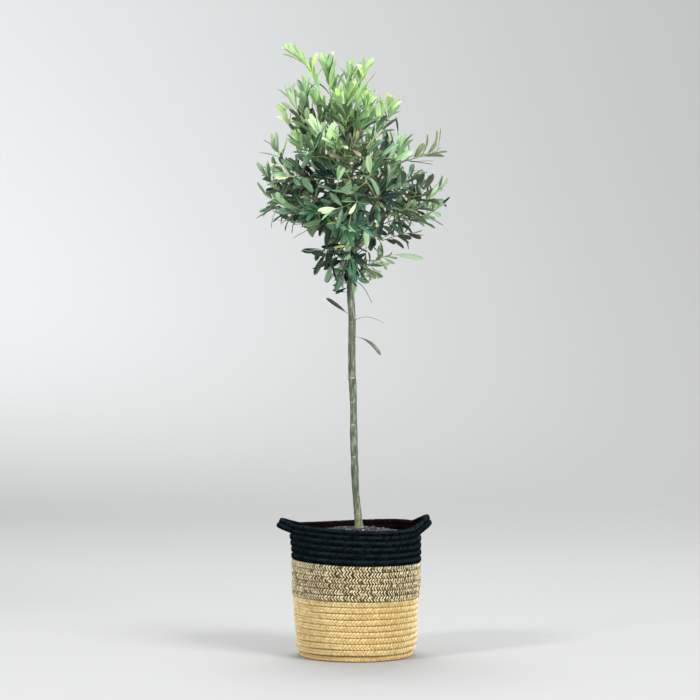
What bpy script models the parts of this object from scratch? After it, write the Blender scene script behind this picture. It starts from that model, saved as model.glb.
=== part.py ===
"""Potted olive standard: a slender clear trunk under a loose round head of
foliage, planted in a coiled rope basket with two ear handles.

Metres, +Z up. The origin is the centre of the basket's flat underside.
+X is to the right and -Y is the front.

Solids: the rope basket in three colour bands with a rim of two ropes that
swings out into the ear handles, the fill of soil, the trunk from a flat cut on
the soil to its fork, the main boughs, and the masses of foliage that the
boughs run into.  Solids that touch keep a gap of 0.3 mm.
"""

import math

import bmesh
import bpy
from mathutils import Euler, Vector, noise

# ------------------------------------------------------------ driving dimensions
GAP = 0.0003  # left between solids that touch

# Basket
WALL = 0.0088  # thickness of the rope wall
FOOT_R = 0.0840  # radius of the flat underside
CORNER_Z = 0.0140  # height of the rounded bottom corner
LOW_R = 0.0972  # outer radius just above the corner
NATURAL_TOP = 0.0972  # height of the straw-coloured band
NATURAL_R = 0.1012  # its outer radius there: the wall flares out a little
INNER_LOW_R = 0.0892  # inner radius just above the corner
MID_Z, MID_R = 0.0700, 0.1022  # the bands above stand a little proud of it
TOP_R = 0.1052  # outer radius of the upper wall
SPECKLED_TOP = 0.1542  # height of the speckled band
RIM_TOP = 0.2120  # mean height of the rim
RIM_WAVE, RIM_WAVE_AT = 0.0026, math.radians(32)  # the rim isn't quite level
RIM_BAND_H = 0.0155  # two ropes, one on the other
RIM_BAND_T = 0.0085
TURN_STEPS = 40

# Ear handles: how far the rim's two ropes swing out and up, and their half width
HANDLE_HALF = math.radians(26)
HANDLE_LEAN = math.radians(27)
HANDLES = {
    "handle_right": {"at": 0.0, "out": 0.0157, "rise": 0.0146},
    "handle_left": {"at": math.pi, "out": 0.0204, "rise": 0.0089},
}
LOOP_STEP = math.radians(6.0)
END_STEP = math.radians(1.5)
HANDLE_END = HANDLE_HALF + math.radians(2)  # where a handle's node meets the rim's

# Soil
SOIL_TOP = 0.2060  # at the trunk
SOIL_FLAT_R = 0.0140
SOIL_DROP = 0.0120  # from the trunk to the wall

# Trunk: (height, sideways, depth, radius), from the soil to the fork
TRUNK = (
    (SOIL_TOP + GAP, 0.0050, 0.0000, 0.0082),
    (0.2130, 0.0046, 0.0002, 0.0067),
    (0.2250, 0.0036, 0.0006, 0.0061),
    (0.2680, -0.0005, 0.0016, 0.0058),
    (0.3330, -0.0030, 0.0022, 0.0060),
    (0.4140, -0.0044, 0.0010, 0.0058),
    (0.4600, -0.0065, -0.0004, 0.0062),
    (0.4950, -0.0068, -0.0012, 0.0058),
    (0.5480, -0.0064, -0.0010, 0.0061),
    (0.5920, -0.0092, 0.0002, 0.0057),
    (0.6300, -0.0100, 0.0010, 0.0056),
    (0.6620, -0.0092, 0.0012, 0.0050),
)
TRUNK_STEP = 0.024

# Boughs: from a height on the limb that bears them, out to where they enter
# the foliage.  (bearing limb, height on it, end point, root radius, end radius,
# sag of the middle below the straight line, bow of the middle to the right)
BOUGHS = {
    "bough_leader": ("trunk", None, (-0.0160, 0.0040, 0.8020), 0.0046, 0.0026, 0.000, 0.0050),
    "bough_left": ("trunk", 0.6400, (-0.0700, -0.0080, 0.7250), 0.0038, 0.0025, 0.006, 0.0),
    "bough_right": ("trunk", 0.6500, (0.0540, 0.0060, 0.7200), 0.0038, 0.0025, 0.007, 0.0),
    "bough_front": ("trunk", 0.6290, (-0.0020, -0.0540, 0.7100), 0.0036, 0.0024, 0.006, -0.003),
    "bough_back": ("trunk", 0.6150, (-0.0040, 0.0580, 0.7080), 0.0036, 0.0024, 0.006, 0.003),
    "bough_upper_left": ("bough_leader", 0.7000, (-0.0560, 0.0160, 0.8080), 0.0030, 0.0021, 0.004, 0.0),
    "bough_upper_right": ("bough_leader", 0.7250, (0.0380, -0.0140, 0.8000), 0.0030, 0.0021, 0.004, 0.0),
}
LIMB_STEP = 0.015

# Masses of foliage: centre, half sizes, turn about X, Y and Z in degrees,
# unevenness as a share of the half size, and how fine the solid is.
MASSES = {
    "mass_front": ((-0.012, -0.084, 0.758), (0.066, 0.052, 0.072), (0, 8, 0), 0.20, 3),
    "mass_back": ((0.002, 0.086, 0.764), (0.068, 0.052, 0.076), (0, -6, 0), 0.20, 3),
    "mass_left": ((-0.108, -0.004, 0.756), (0.050, 0.062, 0.047), (0, 22, 0), 0.20, 3),
    "mass_right": ((0.094, 0.002, 0.746), (0.049, 0.062, 0.048), (0, -8, 0), 0.20, 3),
    "mass_front_left": ((-0.066, -0.058, 0.780), (0.050, 0.052, 0.060), (0, 10, 0), 0.20, 3),
    "mass_front_right": ((0.058, -0.062, 0.752), (0.052, 0.052, 0.062), (0, -10, 0), 0.20, 3),
    "mass_back_left": ((-0.060, 0.064, 0.752), (0.054, 0.054, 0.064), (0, 10, 0), 0.20, 3),
    "mass_back_right": ((0.062, 0.060, 0.778), (0.050, 0.054, 0.062), (0, -10, 0), 0.20, 3),
    "mass_upper_right": ((0.054, -0.008, 0.832), (0.050, 0.058, 0.046), (0, 24, 0), 0.20, 3),
    "mass_upper_left": ((-0.070, 0.006, 0.854), (0.043, 0.058, 0.055), (0, -10, 0), 0.20, 3),
    "mass_upper_front": ((-0.012, -0.052, 0.846), (0.052, 0.044, 0.052), (0, 0, 0), 0.20, 3),
    "mass_upper_back": ((0.000, 0.058, 0.850), (0.056, 0.046, 0.052), (0, 0, 0), 0.20, 3),
    "mass_top": ((-0.008, 0.002, 0.902), (0.047, 0.054, 0.047), (0, -12, 0), 0.18, 3),
    "mass_lower_left": ((-0.086, 0.000, 0.696), (0.043, 0.056, 0.024), (0, 6, 0), 0.18, 2),
    "mass_lower_right": ((0.066, 0.004, 0.692), (0.046, 0.056, 0.026), (0, -22, 0), 0.18, 2),
    "mass_lower_front": ((-0.036, -0.040, 0.666), (0.036, 0.036, 0.046), (0, -18, 0), 0.18, 2),
    "mass_lower_back": ((0.014, 0.050, 0.674), (0.040, 0.038, 0.042), (0, 18, 0), 0.18, 2),
    "shoot_top_left": ((-0.0815, -0.005, 0.948), (0.011, 0.013, 0.050), (0, -36, 0), 0.12, 2),
    "shoot_top": ((-0.044, 0.000, 0.948), (0.014, 0.016, 0.036), (0, -4, 0), 0.12, 2),
    "shoot_top_right": ((0.008, 0.002, 0.950), (0.021, 0.016, 0.024), (0, 6, 0), 0.14, 2),
    "shoot_right": ((0.110, -0.012, 0.830), (0.044, 0.019, 0.018), (0, -27, 0), 0.14, 2),
    "shoot_left": ((-0.124, -0.006, 0.824), (0.018, 0.020, 0.024), (0, -24, 0), 0.14, 2),
    "tuft_right": ((0.024, -0.012, 0.635), (0.023, 0.020, 0.019), (0, 0, 0), 0.14, 2),
    "tuft_left": ((-0.026, -0.006, 0.608), (0.012, 0.013, 0.022), (0, 16, 0), 0.12, 2),
}
BUMP_SIZE = 0.034  # distance between the bumps of a mass

# Colours and finishes: base colour, roughness
FINISH = {
    "straw_rope": ((0.60, 0.42, 0.16), 0.85),
    "speckled_rope": ((0.33, 0.26, 0.15), 0.85),
    "dark_rope": ((0.006, 0.012, 0.017), 0.80),
    "soil": ((0.10, 0.09, 0.08), 0.95),
    "bark": ((0.20, 0.20, 0.13), 0.85),
    "foliage": ((0.10, 0.19, 0.09), 0.60),
}


# ------------------------------------------------------------ small helpers
def clear_scene():
    for ob in list(bpy.data.objects):
        bpy.data.objects.remove(ob, do_unlink=True)


def material(name):
    if name in bpy.data.materials:
        return bpy.data.materials[name]
    mat = bpy.data.materials.new(name)
    mat.use_nodes = True
    bsdf = mat.node_tree.nodes["Principled BSDF"]
    colour, rough = FINISH[name]
    bsdf.inputs["Base Color"].default_value = (*colour, 1.0)
    bsdf.inputs["Roughness"].default_value = rough
    bsdf.inputs["Metallic"].default_value = 0.0
    mat.diffuse_color = (*colour, 1.0)
    return mat


def collection(name):
    found = bpy.data.collections.get(name) or bpy.data.collections.new(name)
    if found.name not in bpy.context.scene.collection.children:
        bpy.context.scene.collection.children.link(found)
    return found


def put(name, data, finish, where, parent=None):
    ob = bpy.data.objects.new(name, data)
    where.objects.link(ob)
    if finish:
        data.materials.clear()
        data.materials.append(material(finish))
    if parent:
        ob.parent = parent
    return ob


def evaluated_mesh(ob):
    """The object's mesh with its modifiers applied and its loose caps welded."""
    bpy.context.view_layer.update()
    graph = bpy.context.evaluated_depsgraph_get()
    mesh = bpy.data.meshes.new_from_object(ob.evaluated_get(graph))
    bm = bmesh.new()
    bm.from_mesh(mesh)
    bmesh.ops.remove_doubles(bm, verts=bm.verts, dist=1e-6)
    bmesh.ops.recalc_face_normals(bm, faces=bm.faces)
    bm.to_mesh(mesh)
    bm.free()
    return mesh


def smooth_step(t):
    t = min(1.0, max(0.0, t))
    return t * t * (3 - 2 * t)


def through(points, t):
    """A smooth curve through the points (Catmull-Rom); t runs 0..len-1."""
    i = min(int(t), len(points) - 2)
    u = t - i
    p0 = points[max(i - 1, 0)]
    p1, p2 = points[i], points[i + 1]
    p3 = points[min(i + 2, len(points) - 1)]
    return [
        0.5 * (2 * b + (c - a) * u + (2 * a - 5 * b + 4 * c - d) * u * u + (3 * b - a - 3 * c + d) * u**3)
        for a, b, c, d in zip(p0, p1, p2, p3)
    ]


# ------------------------------------------------------------ basket
def outer_radius(z):
    """Outer radius of the basket's wall at a height above the corner."""
    if z <= NATURAL_TOP:
        return LOW_R + (NATURAL_R - LOW_R) * (z - CORNER_Z) / (NATURAL_TOP - CORNER_Z)
    t = min(1.0, (z - MID_Z) / (RIM_TOP - MID_Z))
    return MID_R + (TOP_R - MID_R) * math.sin(t * math.pi / 2)


def inner_radius(z):
    """Inner radius of the basket's wall; smooth from band to band."""
    if z < MID_Z:
        return INNER_LOW_R + (MID_R - WALL - INNER_LOW_R) * (z - CORNER_Z) / (MID_Z - CORNER_Z)
    t = min(1.0, (z - MID_Z) / (RIM_TOP - MID_Z))
    return MID_R - WALL + (TOP_R - MID_R) * math.sin(t * math.pi / 2)


def rim_wave(angle):
    return RIM_WAVE * math.cos(2 * (angle - RIM_WAVE_AT))


def wall_heights(low, high, step=0.024):
    n = max(2, round((high - low) / step))
    return [low + (high - low) * i / n for i in range(n + 1)]


def turned(name, outline, finish, where, parent, ring):
    """A profile in the XZ plane, turned about Z."""
    mesh = bpy.data.meshes.new(name)
    n = len(outline)
    edges = [(i, i + 1) for i in range(n - 1)] + ([(n - 1, 0)] if ring else [])
    mesh.from_pydata([(x, 0.0, z) for x, z in outline], edges, [])
    ob = put(name, mesh, finish, where, parent)
    screw = ob.modifiers.new("Turn", "SCREW")
    screw.steps = screw.render_steps = TURN_STEPS
    screw.use_merge_vertices = True
    screw.merge_threshold = 0.00005
    screw.use_smooth_shade = True
    return ob


def applied(ob):
    """Replaces an object's data by its evaluated mesh."""
    mesh = evaluated_mesh(ob)
    old = ob.data
    ob.modifiers.clear()
    ob.data = mesh
    mesh.name = ob.name
    bpy.data.meshes.remove(old)
    mesh.shade_smooth()
    mesh.set_sharp_from_angle(angle=math.radians(40))
    return ob


def basket(where, parent):
    rim_foot = RIM_TOP - RIM_BAND_H - GAP
    # straw band: the flat underside, the rounded corner and the lower wall
    corner = []
    for i in range(4):
        a = math.radians(90 * i / 3)
        corner.append((FOOT_R + (LOW_R - FOOT_R) * math.sin(a), CORNER_Z * (1 - math.cos(a))))
    outer = [(outer_radius(z), z) for z in reversed(wall_heights(CORNER_Z, NATURAL_TOP))]
    inner = [(inner_radius(z), z) for z in wall_heights(CORNER_Z + 0.004, NATURAL_TOP)]
    # the profile runs down the outer side, under the floor, and back up inside
    chain = outer[:-1] + list(reversed(corner)) + [(0.0, 0.0)]
    back = [(0.0, WALL), (INNER_LOW_R - 0.0065, WALL)] + inner
    straw = turned_cup("basket_straw_band", chain, back, "straw_rope", where, parent)
    low_z, high_z = NATURAL_TOP + GAP, SPECKLED_TOP
    speckled = turned(
        "basket_speckled_band",
        [(outer_radius(z), z) for z in reversed(wall_heights(low_z, high_z))]
        + [(inner_radius(z), z) for z in wall_heights(low_z, high_z)],
        "speckled_rope", where, parent, True,
    )
    applied(speckled)
    low_z, high_z = SPECKLED_TOP + GAP, rim_foot
    dark = turned(
        "basket_dark_band",
        [(outer_radius(z), z) for z in reversed(wall_heights(low_z, high_z))]
        + [(inner_radius(z), z) for z in wall_heights(low_z, high_z)],
        "dark_rope", where, parent, True,
    )
    applied(dark)
    for v in dark.data.vertices:
        share = (v.co.z - low_z) / (high_z - low_z)
        v.co.z += rim_wave(math.atan2(v.co.y, v.co.x)) * smooth_step(share)
    return straw, speckled, dark


def turned_cup(name, down, up, finish, where, parent):
    """A cup: the outer side runs down to the axis, the inner side comes back up."""
    mesh = bpy.data.meshes.new(name)
    points = down + up
    n = len(points)
    # the two points on the axis aren't joined, and the rim closes the wall
    skip = len(down) - 1
    edges = [(i, i + 1) for i in range(n - 1) if i != skip] + [(n - 1, 0)]
    mesh.from_pydata([(x, 0.0, z) for x, z in points], edges, [])
    ob = put(name, mesh, finish, where, parent)
    screw = ob.modifiers.new("Turn", "SCREW")
    screw.steps = screw.render_steps = TURN_STEPS
    screw.use_merge_vertices = True
    screw.merge_threshold = 0.00005
    return applied(ob)


def handle_share(angle):
    """How far the rim has swung out at an angle, and the handle that does it."""
    for name, h in HANDLES.items():
        off = math.remainder(angle - h["at"], 2 * math.pi)
        if abs(off) < HANDLE_HALF:
            return (0.5 * (1 + math.cos(math.pi * off / HANDLE_HALF))) ** 0.8, h
    return 0.0, None


def rim_point(angle):
    """Centre line of the rim's band, and its lean towards the basket."""
    share, h = handle_share(angle)
    r = TOP_R - WALL / 2
    z = RIM_TOP - RIM_BAND_H / 2 + rim_wave(angle)
    lean = 0.0
    if h:
        r += h["out"] * share
        z += h["rise"] * share
        lean = HANDLE_LEAN * share
    return Vector((r * math.cos(angle), r * math.sin(angle), z)), lean


def band_profile(name, width, height, where):
    """The rounded section of the rim's two ropes, as a closed flat curve."""
    data = bpy.data.curves.new(name, "CURVE")
    data.dimensions = "2D"
    spline = data.splines.new("POLY")
    corner = min(width, height) * 0.42
    points = []
    for k, (sx, sy) in enumerate(((1, 1), (-1, 1), (-1, -1), (1, -1))):
        for i in range(2):
            a = math.radians(90 * k + 90 * i)
            points.append((sx * (width / 2 - corner) + corner * math.cos(a), sy * (height / 2 - corner) + corner * math.sin(a)))
    spline.points.add(len(points) - 1)
    for p, (x, y) in zip(spline.points, points):
        p.co = (x, y, 0.0, 1.0)
    spline.use_cyclic_u = True
    ob = put(name, data, None, where)
    ob.hide_render = True
    ob.display_type = "WIRE"
    return ob


def rim_piece(name, start, end, profile, where, parent):
    """A stretch of the rim's band between two angles, as a swept curve."""
    cut = GAP / 2 / TOP_R
    start, end = start + cut, end - cut
    n = max(6, round((end - start) / LOOP_STEP))
    # a short first and last step square the ends to the rim's own direction
    angles = [start + (end - start) * i / n for i in range(n + 1)]
    angles[1:1] = [start + END_STEP]
    angles[-1:-1] = [end - END_STEP]
    data = bpy.data.curves.new(name, "CURVE")
    data.dimensions = "3D"
    data.twist_mode = "Z_UP"
    data.bevel_mode = "OBJECT"
    data.bevel_object = profile
    data.use_fill_caps = True
    spline = data.splines.new("POLY")
    spline.points.add(len(angles) - 1)
    for p, angle in zip(spline.points, angles):
        where_to, lean = rim_point(angle)
        p.co = (*where_to, 1.0)
        p.tilt = -lean
    ob = put(name, data, "dark_rope", where, parent)
    return ob


def rim(where, guides, parent):
    profile = band_profile("rim_section", RIM_BAND_T, RIM_BAND_H, guides)
    h = HANDLE_END
    pieces = {
        "rim_back": (h, math.pi - h),
        "handle_left": (math.pi - h, math.pi + h),
        "rim_front": (math.pi + h, 2 * math.pi - h),
        "handle_right": (-h, h),
    }
    made = []
    for name, (a, b) in pieces.items():
        ob = rim_piece(name, a, b, profile, where, parent)
        mesh = evaluated_mesh(ob)
        data = ob.data
        bpy.data.objects.remove(ob, do_unlink=True)
        bpy.data.curves.remove(data)
        new = put(name, mesh, "dark_rope", where, parent)
        mesh.name = name
        mesh.shade_smooth()
        mesh.set_sharp_from_angle(angle=math.radians(40))
        made.append(new)
    return made


def soil(where, parent):
    """The fill of the basket, domed up to the trunk."""
    edge_z = SOIL_TOP - SOIL_DROP
    top = [(0.0, SOIL_TOP), (SOIL_FLAT_R, SOIL_TOP)]
    wall_r = inner_radius(edge_z) - GAP
    for i in range(1, 6):
        r = SOIL_FLAT_R + (wall_r - SOIL_FLAT_R) * i / 5
        drop = SOIL_DROP * ((r - SOIL_FLAT_R) / (wall_r - SOIL_FLAT_R)) ** 1.6
        top.append((r, SOIL_TOP - drop))
    down = [(inner_radius(z) - GAP, z) for z in reversed(wall_heights(CORNER_Z + 0.004, edge_z, 0.06))]
    under = [(INNER_LOW_R - 0.0071, WALL + GAP), (0.0, WALL + GAP)]
    ob = turned("soil", top + down[1:] + under, "soil", where, parent, False)
    return applied(ob)


# ------------------------------------------------------------ trunk and boughs
def limb_points(name):
    """(point, radius) along a limb, in even steps."""
    if name == "trunk":
        rows = [(x, y, z, r) for z, x, y, r in TRUNK]
    else:
        bearer, height, end, root_r, end_r, sag, bow = BOUGHS[name]
        if height is None:  # it carries on from the tip of the limb below
            start, _ = limb_points(bearer)[-1]
            start = start + Vector((0, 0, GAP + 0.0002))
        else:
            start = limb_at(bearer, height)
        end = Vector(end)
        rows = []
        for i in range(6):
            t = i / 5
            p = start.lerp(end, t)
            p.z -= sag * 4 * t * (1 - t)
            p.x += bow * 4 * t * (1 - t)
            rows.append((*p, root_r + (end_r - root_r) * t))
    step = TRUNK_STEP if name == "trunk" else LIMB_STEP
    length = sum((Vector(b[:3]) - Vector(a[:3])).length for a, b in zip(rows, rows[1:]))
    fine = 400
    dense = [through(rows, (len(rows) - 1) * i / fine) for i in range(fine + 1)]
    n = max(4, round(length / step))
    run, found, at = 0.0, [], 0
    lengths = [0.0]
    for a, b in zip(dense, dense[1:]):
        run += (Vector(b[:3]) - Vector(a[:3])).length
        lengths.append(run)
    wanted = [run * i / n for i in range(n + 1)]
    if name == "trunk":  # closer rings where the foot flares
        wanted = sorted(wanted + [0.003, 0.006, 0.010])
    for w in wanted:
        while at < fine and lengths[at + 1] < w - 1e-9:
            at += 1
        a, b = dense[at], dense[min(at + 1, fine)]
        span = lengths[min(at + 1, fine)] - lengths[at] or 1.0
        u = min(1.0, max(0.0, (w - lengths[at]) / span))
        row = [p + (q - p) * u for p, q in zip(a, b)]
        found.append((Vector(row[:3]), row[3]))
    return found


def limb_at(name, height):
    points = limb_points(name)
    for (a, _), (b, _) in zip(points, points[1:]):
        if a.z <= height <= b.z:
            return a.lerp(b, (height - a.z) / (b.z - a.z))
    return points[-1][0].copy()


def limb_mesh(name, grow=0.0, sides=4):
    """A limb as a tube of changing radius; grow makes it fatter, for a cutter."""
    points = limb_points(name)
    data = bpy.data.curves.new(name, "CURVE")
    data.dimensions = "3D"
    data.twist_mode = "MINIMUM"
    data.bevel_depth = 1.0
    data.bevel_resolution = sides
    data.use_fill_caps = True
    spline = data.splines.new("POLY")
    spline.points.add(len(points) - 1)
    for p, (where_to, radius) in zip(spline.points, points):
        p.co = (*where_to, 1.0)
        p.radius = radius + grow
    ob = bpy.data.objects.new(name + "_curve", data)
    bpy.context.scene.collection.objects.link(ob)
    mesh = evaluated_mesh(ob)
    bpy.data.objects.remove(ob, do_unlink=True)
    bpy.data.curves.remove(data)
    return mesh


def limbs(where, guides, parent):
    """The trunk and the boughs, each bough cut to sit on the limb that bears it."""
    trunk_mesh = limb_mesh("trunk", sides=4)
    trunk = put("trunk", trunk_mesh, "bark", where, parent)
    flatten_foot(trunk_mesh)
    trunk_mesh.name = "trunk"
    trunk_mesh.shade_smooth()
    trunk_mesh.set_sharp_from_angle(angle=math.radians(50))
    cutters = {}
    for bearer in ("trunk", "bough_leader"):
        cutter = put(bearer + "_cutter", limb_mesh(bearer, GAP, 4), None, guides)
        cutter.hide_render = True
        cutter.display_type = "WIRE"
        cutters[bearer] = cutter
    made = [trunk]
    for name, (bearer, height, *_rest) in BOUGHS.items():
        mesh = limb_mesh(name, sides=2)
        ob = put(name, mesh, "bark", where, parent)
        if height is not None:
            cut = ob.modifiers.new("Seat", "BOOLEAN")
            cut.operation = "DIFFERENCE"
            cut.solver = "EXACT"
            cut.object = cutters[bearer]
            applied(ob)
        mesh = ob.data
        mesh.name = name
        if not mesh.materials:
            mesh.materials.append(material("bark"))
        mesh.shade_smooth()
        mesh.set_sharp_from_angle(angle=math.radians(50))
        made.append(ob)
    return made


def flatten_foot(mesh):
    """The foot's cut lies level on the soil."""
    low = SOIL_TOP + GAP
    for v in mesh.vertices:
        if v.co.z < low + 0.0012:
            v.co.z = low


# ------------------------------------------------------------ foliage
def support(radii, turn, direction):
    """Half size of a turned ellipsoid along a direction."""
    d = turn.inverted() @ direction
    return math.sqrt(sum((r * c) ** 2 for r, c in zip(radii, d)))


def closest_on(a, b, p):
    ab = b - a
    t = max(0.0, min(1.0, (p - a).dot(ab) / ab.length_squared))
    return a + ab * t, t


def mass_planes(name, limb_rows):
    """The flat limits of a mass, as (outward normal, distance from its centre):
    half way to each neighbour, and clear of every limb."""
    centre, radii, turn, _, _ = MASSES[name]
    centre = Vector(centre)
    turn = Euler([math.radians(a) for a in turn]).to_matrix()
    planes = []
    for other, (c2, r2, t2, _, _) in MASSES.items():
        if other == name:
            continue
        away = Vector(c2) - centre
        distance = away.length
        n = away / distance
        mine = support(radii, turn, n)
        theirs = support(r2, Euler([math.radians(a) for a in t2]).to_matrix(), n)
        planes.append((n, distance * mine / (mine + theirs) - GAP / 2))
    for rows in limb_rows.values():
        for (a, ra), (b, rb) in zip(rows, rows[1:]):
            q, t = closest_on(a, b, centre)
            away = q - centre
            distance = away.length
            planes.append((away / distance, distance - max(ra, rb) - 2 * GAP))
    return planes


def mass(name, where, parent, limb_rows):
    centre, radii, turn, uneven, fine = MASSES[name]
    matrix = Euler([math.radians(a) for a in turn]).to_matrix()
    planes = mass_planes(name, limb_rows)
    bm = bmesh.new()
    bmesh.ops.create_icosphere(bm, subdivisions=fine, radius=1.0)
    shift = Vector((sum(map(ord, name)) * 0.37, len(name) * 1.3, 0.0))
    for v in bm.verts:
        on = matrix @ Vector([c * r for c, r in zip(v.co, radii)])
        reach = on.length
        d = on / reach
        at = Vector(centre) + d * reach
        bump = noise.noise(at / BUMP_SIZE + shift) + 0.5 * noise.noise(at / BUMP_SIZE * 2.1 + shift)
        reach *= 1.0 + uneven * bump
        for n, distance in planes:
            facing = d.dot(n)
            if facing > 1e-6:
                reach = min(reach, distance / facing)
        v.co = d * max(reach, 0.002)
    mesh = bpy.data.meshes.new(name)
    bm.to_mesh(mesh)
    bm.free()
    ob = put(name, mesh, "foliage", where, parent)
    ob.location = centre
    mesh.shade_smooth()
    mesh.set_sharp_from_angle(angle=math.radians(55))
    return ob


# ------------------------------------------------------------ assembly
def main():
    clear_scene()
    parts = collection("potted_olive_tree")
    guides = collection("cutters_and_guides")
    root = bpy.data.objects.new("potted_olive", None)
    parts.objects.link(root)
    basket(parts, root)
    rim(parts, guides, root)
    soil(parts, root)
    limbs(parts, guides, root)
    limb_rows = {name: limb_points(name) for name in ("trunk", *BOUGHS)}
    for name in MASSES:
        mass(name, parts, root, limb_rows)


main()
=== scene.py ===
"""The looks of the potted olive standard: a braided rope basket, gritty soil,
a barked trunk, and a crown of twigs and leaves grown by a seeded rule.

Metres, +Z up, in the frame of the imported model.  +X is right, -Y is the front.
"""

import math

import bpy
import numpy as np
from mathutils import Matrix, Vector


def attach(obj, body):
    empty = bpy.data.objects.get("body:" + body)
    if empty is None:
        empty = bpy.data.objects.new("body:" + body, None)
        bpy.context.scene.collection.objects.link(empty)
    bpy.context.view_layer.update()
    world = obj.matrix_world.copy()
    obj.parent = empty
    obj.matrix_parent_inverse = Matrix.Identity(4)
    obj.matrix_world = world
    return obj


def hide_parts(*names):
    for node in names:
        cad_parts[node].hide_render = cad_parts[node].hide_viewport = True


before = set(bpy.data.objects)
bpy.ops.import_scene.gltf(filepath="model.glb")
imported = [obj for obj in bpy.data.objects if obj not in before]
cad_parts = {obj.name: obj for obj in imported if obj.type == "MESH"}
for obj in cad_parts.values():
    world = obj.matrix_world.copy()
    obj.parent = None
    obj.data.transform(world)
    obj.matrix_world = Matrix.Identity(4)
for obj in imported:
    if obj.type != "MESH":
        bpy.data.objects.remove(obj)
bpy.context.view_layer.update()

# ------------------------------------------------------------ sizes of the frame
FOOT_R, FOOT_ROUND, LOW_R, STRAW_R = 0.0840, 0.0180, 0.0972, 0.1012
MID_Z, MID_R, TOP_R = 0.0700, 0.1022, 0.1052
STRAW_TOP, SPECKLED_TOP, RIM_TOP = 0.0972, 0.1542, 0.2120
RIM_WAVE, RIM_WAVE_AT = 0.0026, math.radians(32)
ROPE = 0.0088  # thickness of the rope
BAND_FOOT = 0.1953  # where the two ropes of the rim begin
HANDLE_HALF, HANDLE_LEAN = math.radians(26), math.radians(27)
HANDLES = ((0.0, 0.0157, 0.0146), (math.pi, 0.0204, 0.0089))  # where, how far out, how far up
SOIL_TOP, SOIL_FLAT_R, SOIL_DROP = 0.2060, 0.0140, 0.0120

TRUNK = (
    (0.2063, 0.0050, 0.0000, 0.0082),
    (0.2130, 0.0046, 0.0002, 0.0067),
    (0.2250, 0.0036, 0.0006, 0.0061),
    (0.2680, -0.0005, 0.0016, 0.0058),
    (0.3330, -0.0030, 0.0022, 0.0060),
    (0.4140, -0.0044, 0.0010, 0.0058),
    (0.4600, -0.0065, -0.0004, 0.0062),
    (0.4950, -0.0068, -0.0012, 0.0058),
    (0.5480, -0.0064, -0.0010, 0.0061),
    (0.5920, -0.0092, 0.0002, 0.0057),
    (0.6300, -0.0100, 0.0010, 0.0056),
    (0.6620, -0.0092, 0.0012, 0.0050),
)
BOUGHS = {
    "bough_leader": ("trunk", None, (-0.0160, 0.0040, 0.8020), 0.0046, 0.0026, 0.000, 0.0050),
    "bough_left": ("trunk", 0.6400, (-0.0700, -0.0080, 0.7250), 0.0038, 0.0025, 0.006, 0.0),
    "bough_right": ("trunk", 0.6500, (0.0540, 0.0060, 0.7200), 0.0038, 0.0025, 0.007, 0.0),
    "bough_front": ("trunk", 0.6290, (-0.0020, -0.0540, 0.7100), 0.0036, 0.0024, 0.006, -0.003),
    "bough_back": ("trunk", 0.6150, (-0.0040, 0.0580, 0.7080), 0.0036, 0.0024, 0.006, 0.003),
    "bough_upper_left": ("bough_leader", 0.7000, (-0.0560, 0.0160, 0.8080), 0.0030, 0.0021, 0.004, 0.0),
    "bough_upper_right": ("bough_leader", 0.7250, (0.0380, -0.0140, 0.8000), 0.0030, 0.0021, 0.004, 0.0),
}

# The crown's masses: centre, half sizes, turn about Y in degrees
MASSES = {
    "mass_front": ((-0.012, -0.084, 0.758), (0.066, 0.052, 0.072), 8),
    "mass_back": ((0.002, 0.086, 0.764), (0.068, 0.052, 0.076), -6),
    "mass_left": ((-0.108, -0.004, 0.756), (0.050, 0.062, 0.047), 22),
    "mass_right": ((0.094, 0.002, 0.746), (0.049, 0.062, 0.048), -8),
    "mass_front_left": ((-0.066, -0.058, 0.780), (0.050, 0.052, 0.060), 10),
    "mass_front_right": ((0.058, -0.062, 0.752), (0.052, 0.052, 0.062), -10),
    "mass_back_left": ((-0.060, 0.064, 0.752), (0.054, 0.054, 0.064), 10),
    "mass_back_right": ((0.062, 0.060, 0.778), (0.050, 0.054, 0.062), -10),
    "mass_upper_right": ((0.054, -0.008, 0.832), (0.050, 0.058, 0.046), 24),
    "mass_upper_left": ((-0.070, 0.006, 0.854), (0.043, 0.058, 0.055), -10),
    "mass_upper_front": ((-0.012, -0.052, 0.846), (0.052, 0.044, 0.052), 0),
    "mass_upper_back": ((0.000, 0.058, 0.850), (0.056, 0.046, 0.052), 0),
    "mass_top": ((-0.008, 0.002, 0.902), (0.047, 0.054, 0.047), -12),
    "mass_lower_left": ((-0.086, 0.000, 0.696), (0.043, 0.056, 0.024), 6),
    "mass_lower_right": ((0.066, 0.004, 0.692), (0.046, 0.056, 0.026), -22),
    "mass_lower_front": ((-0.036, -0.040, 0.666), (0.036, 0.036, 0.046), -18),
    "mass_lower_back": ((0.014, 0.050, 0.674), (0.040, 0.038, 0.042), 18),
}
SHOOT_NODES = (
    "shoot_top_left", "shoot_top", "shoot_top_right", "shoot_right", "shoot_left", "tuft_right", "tuft_left",
)


# ------------------------------------------------------------ colour and materials
def linear(r, g, b):
    """A colour given as 0..255 display values, as linear light."""
    out = []
    for c in (r, g, b):
        c /= 255.0
        out.append(c / 12.92 if c <= 0.04045 else ((c + 0.055) / 1.055) ** 2.4)
    return (*out, 1.0)


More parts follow.
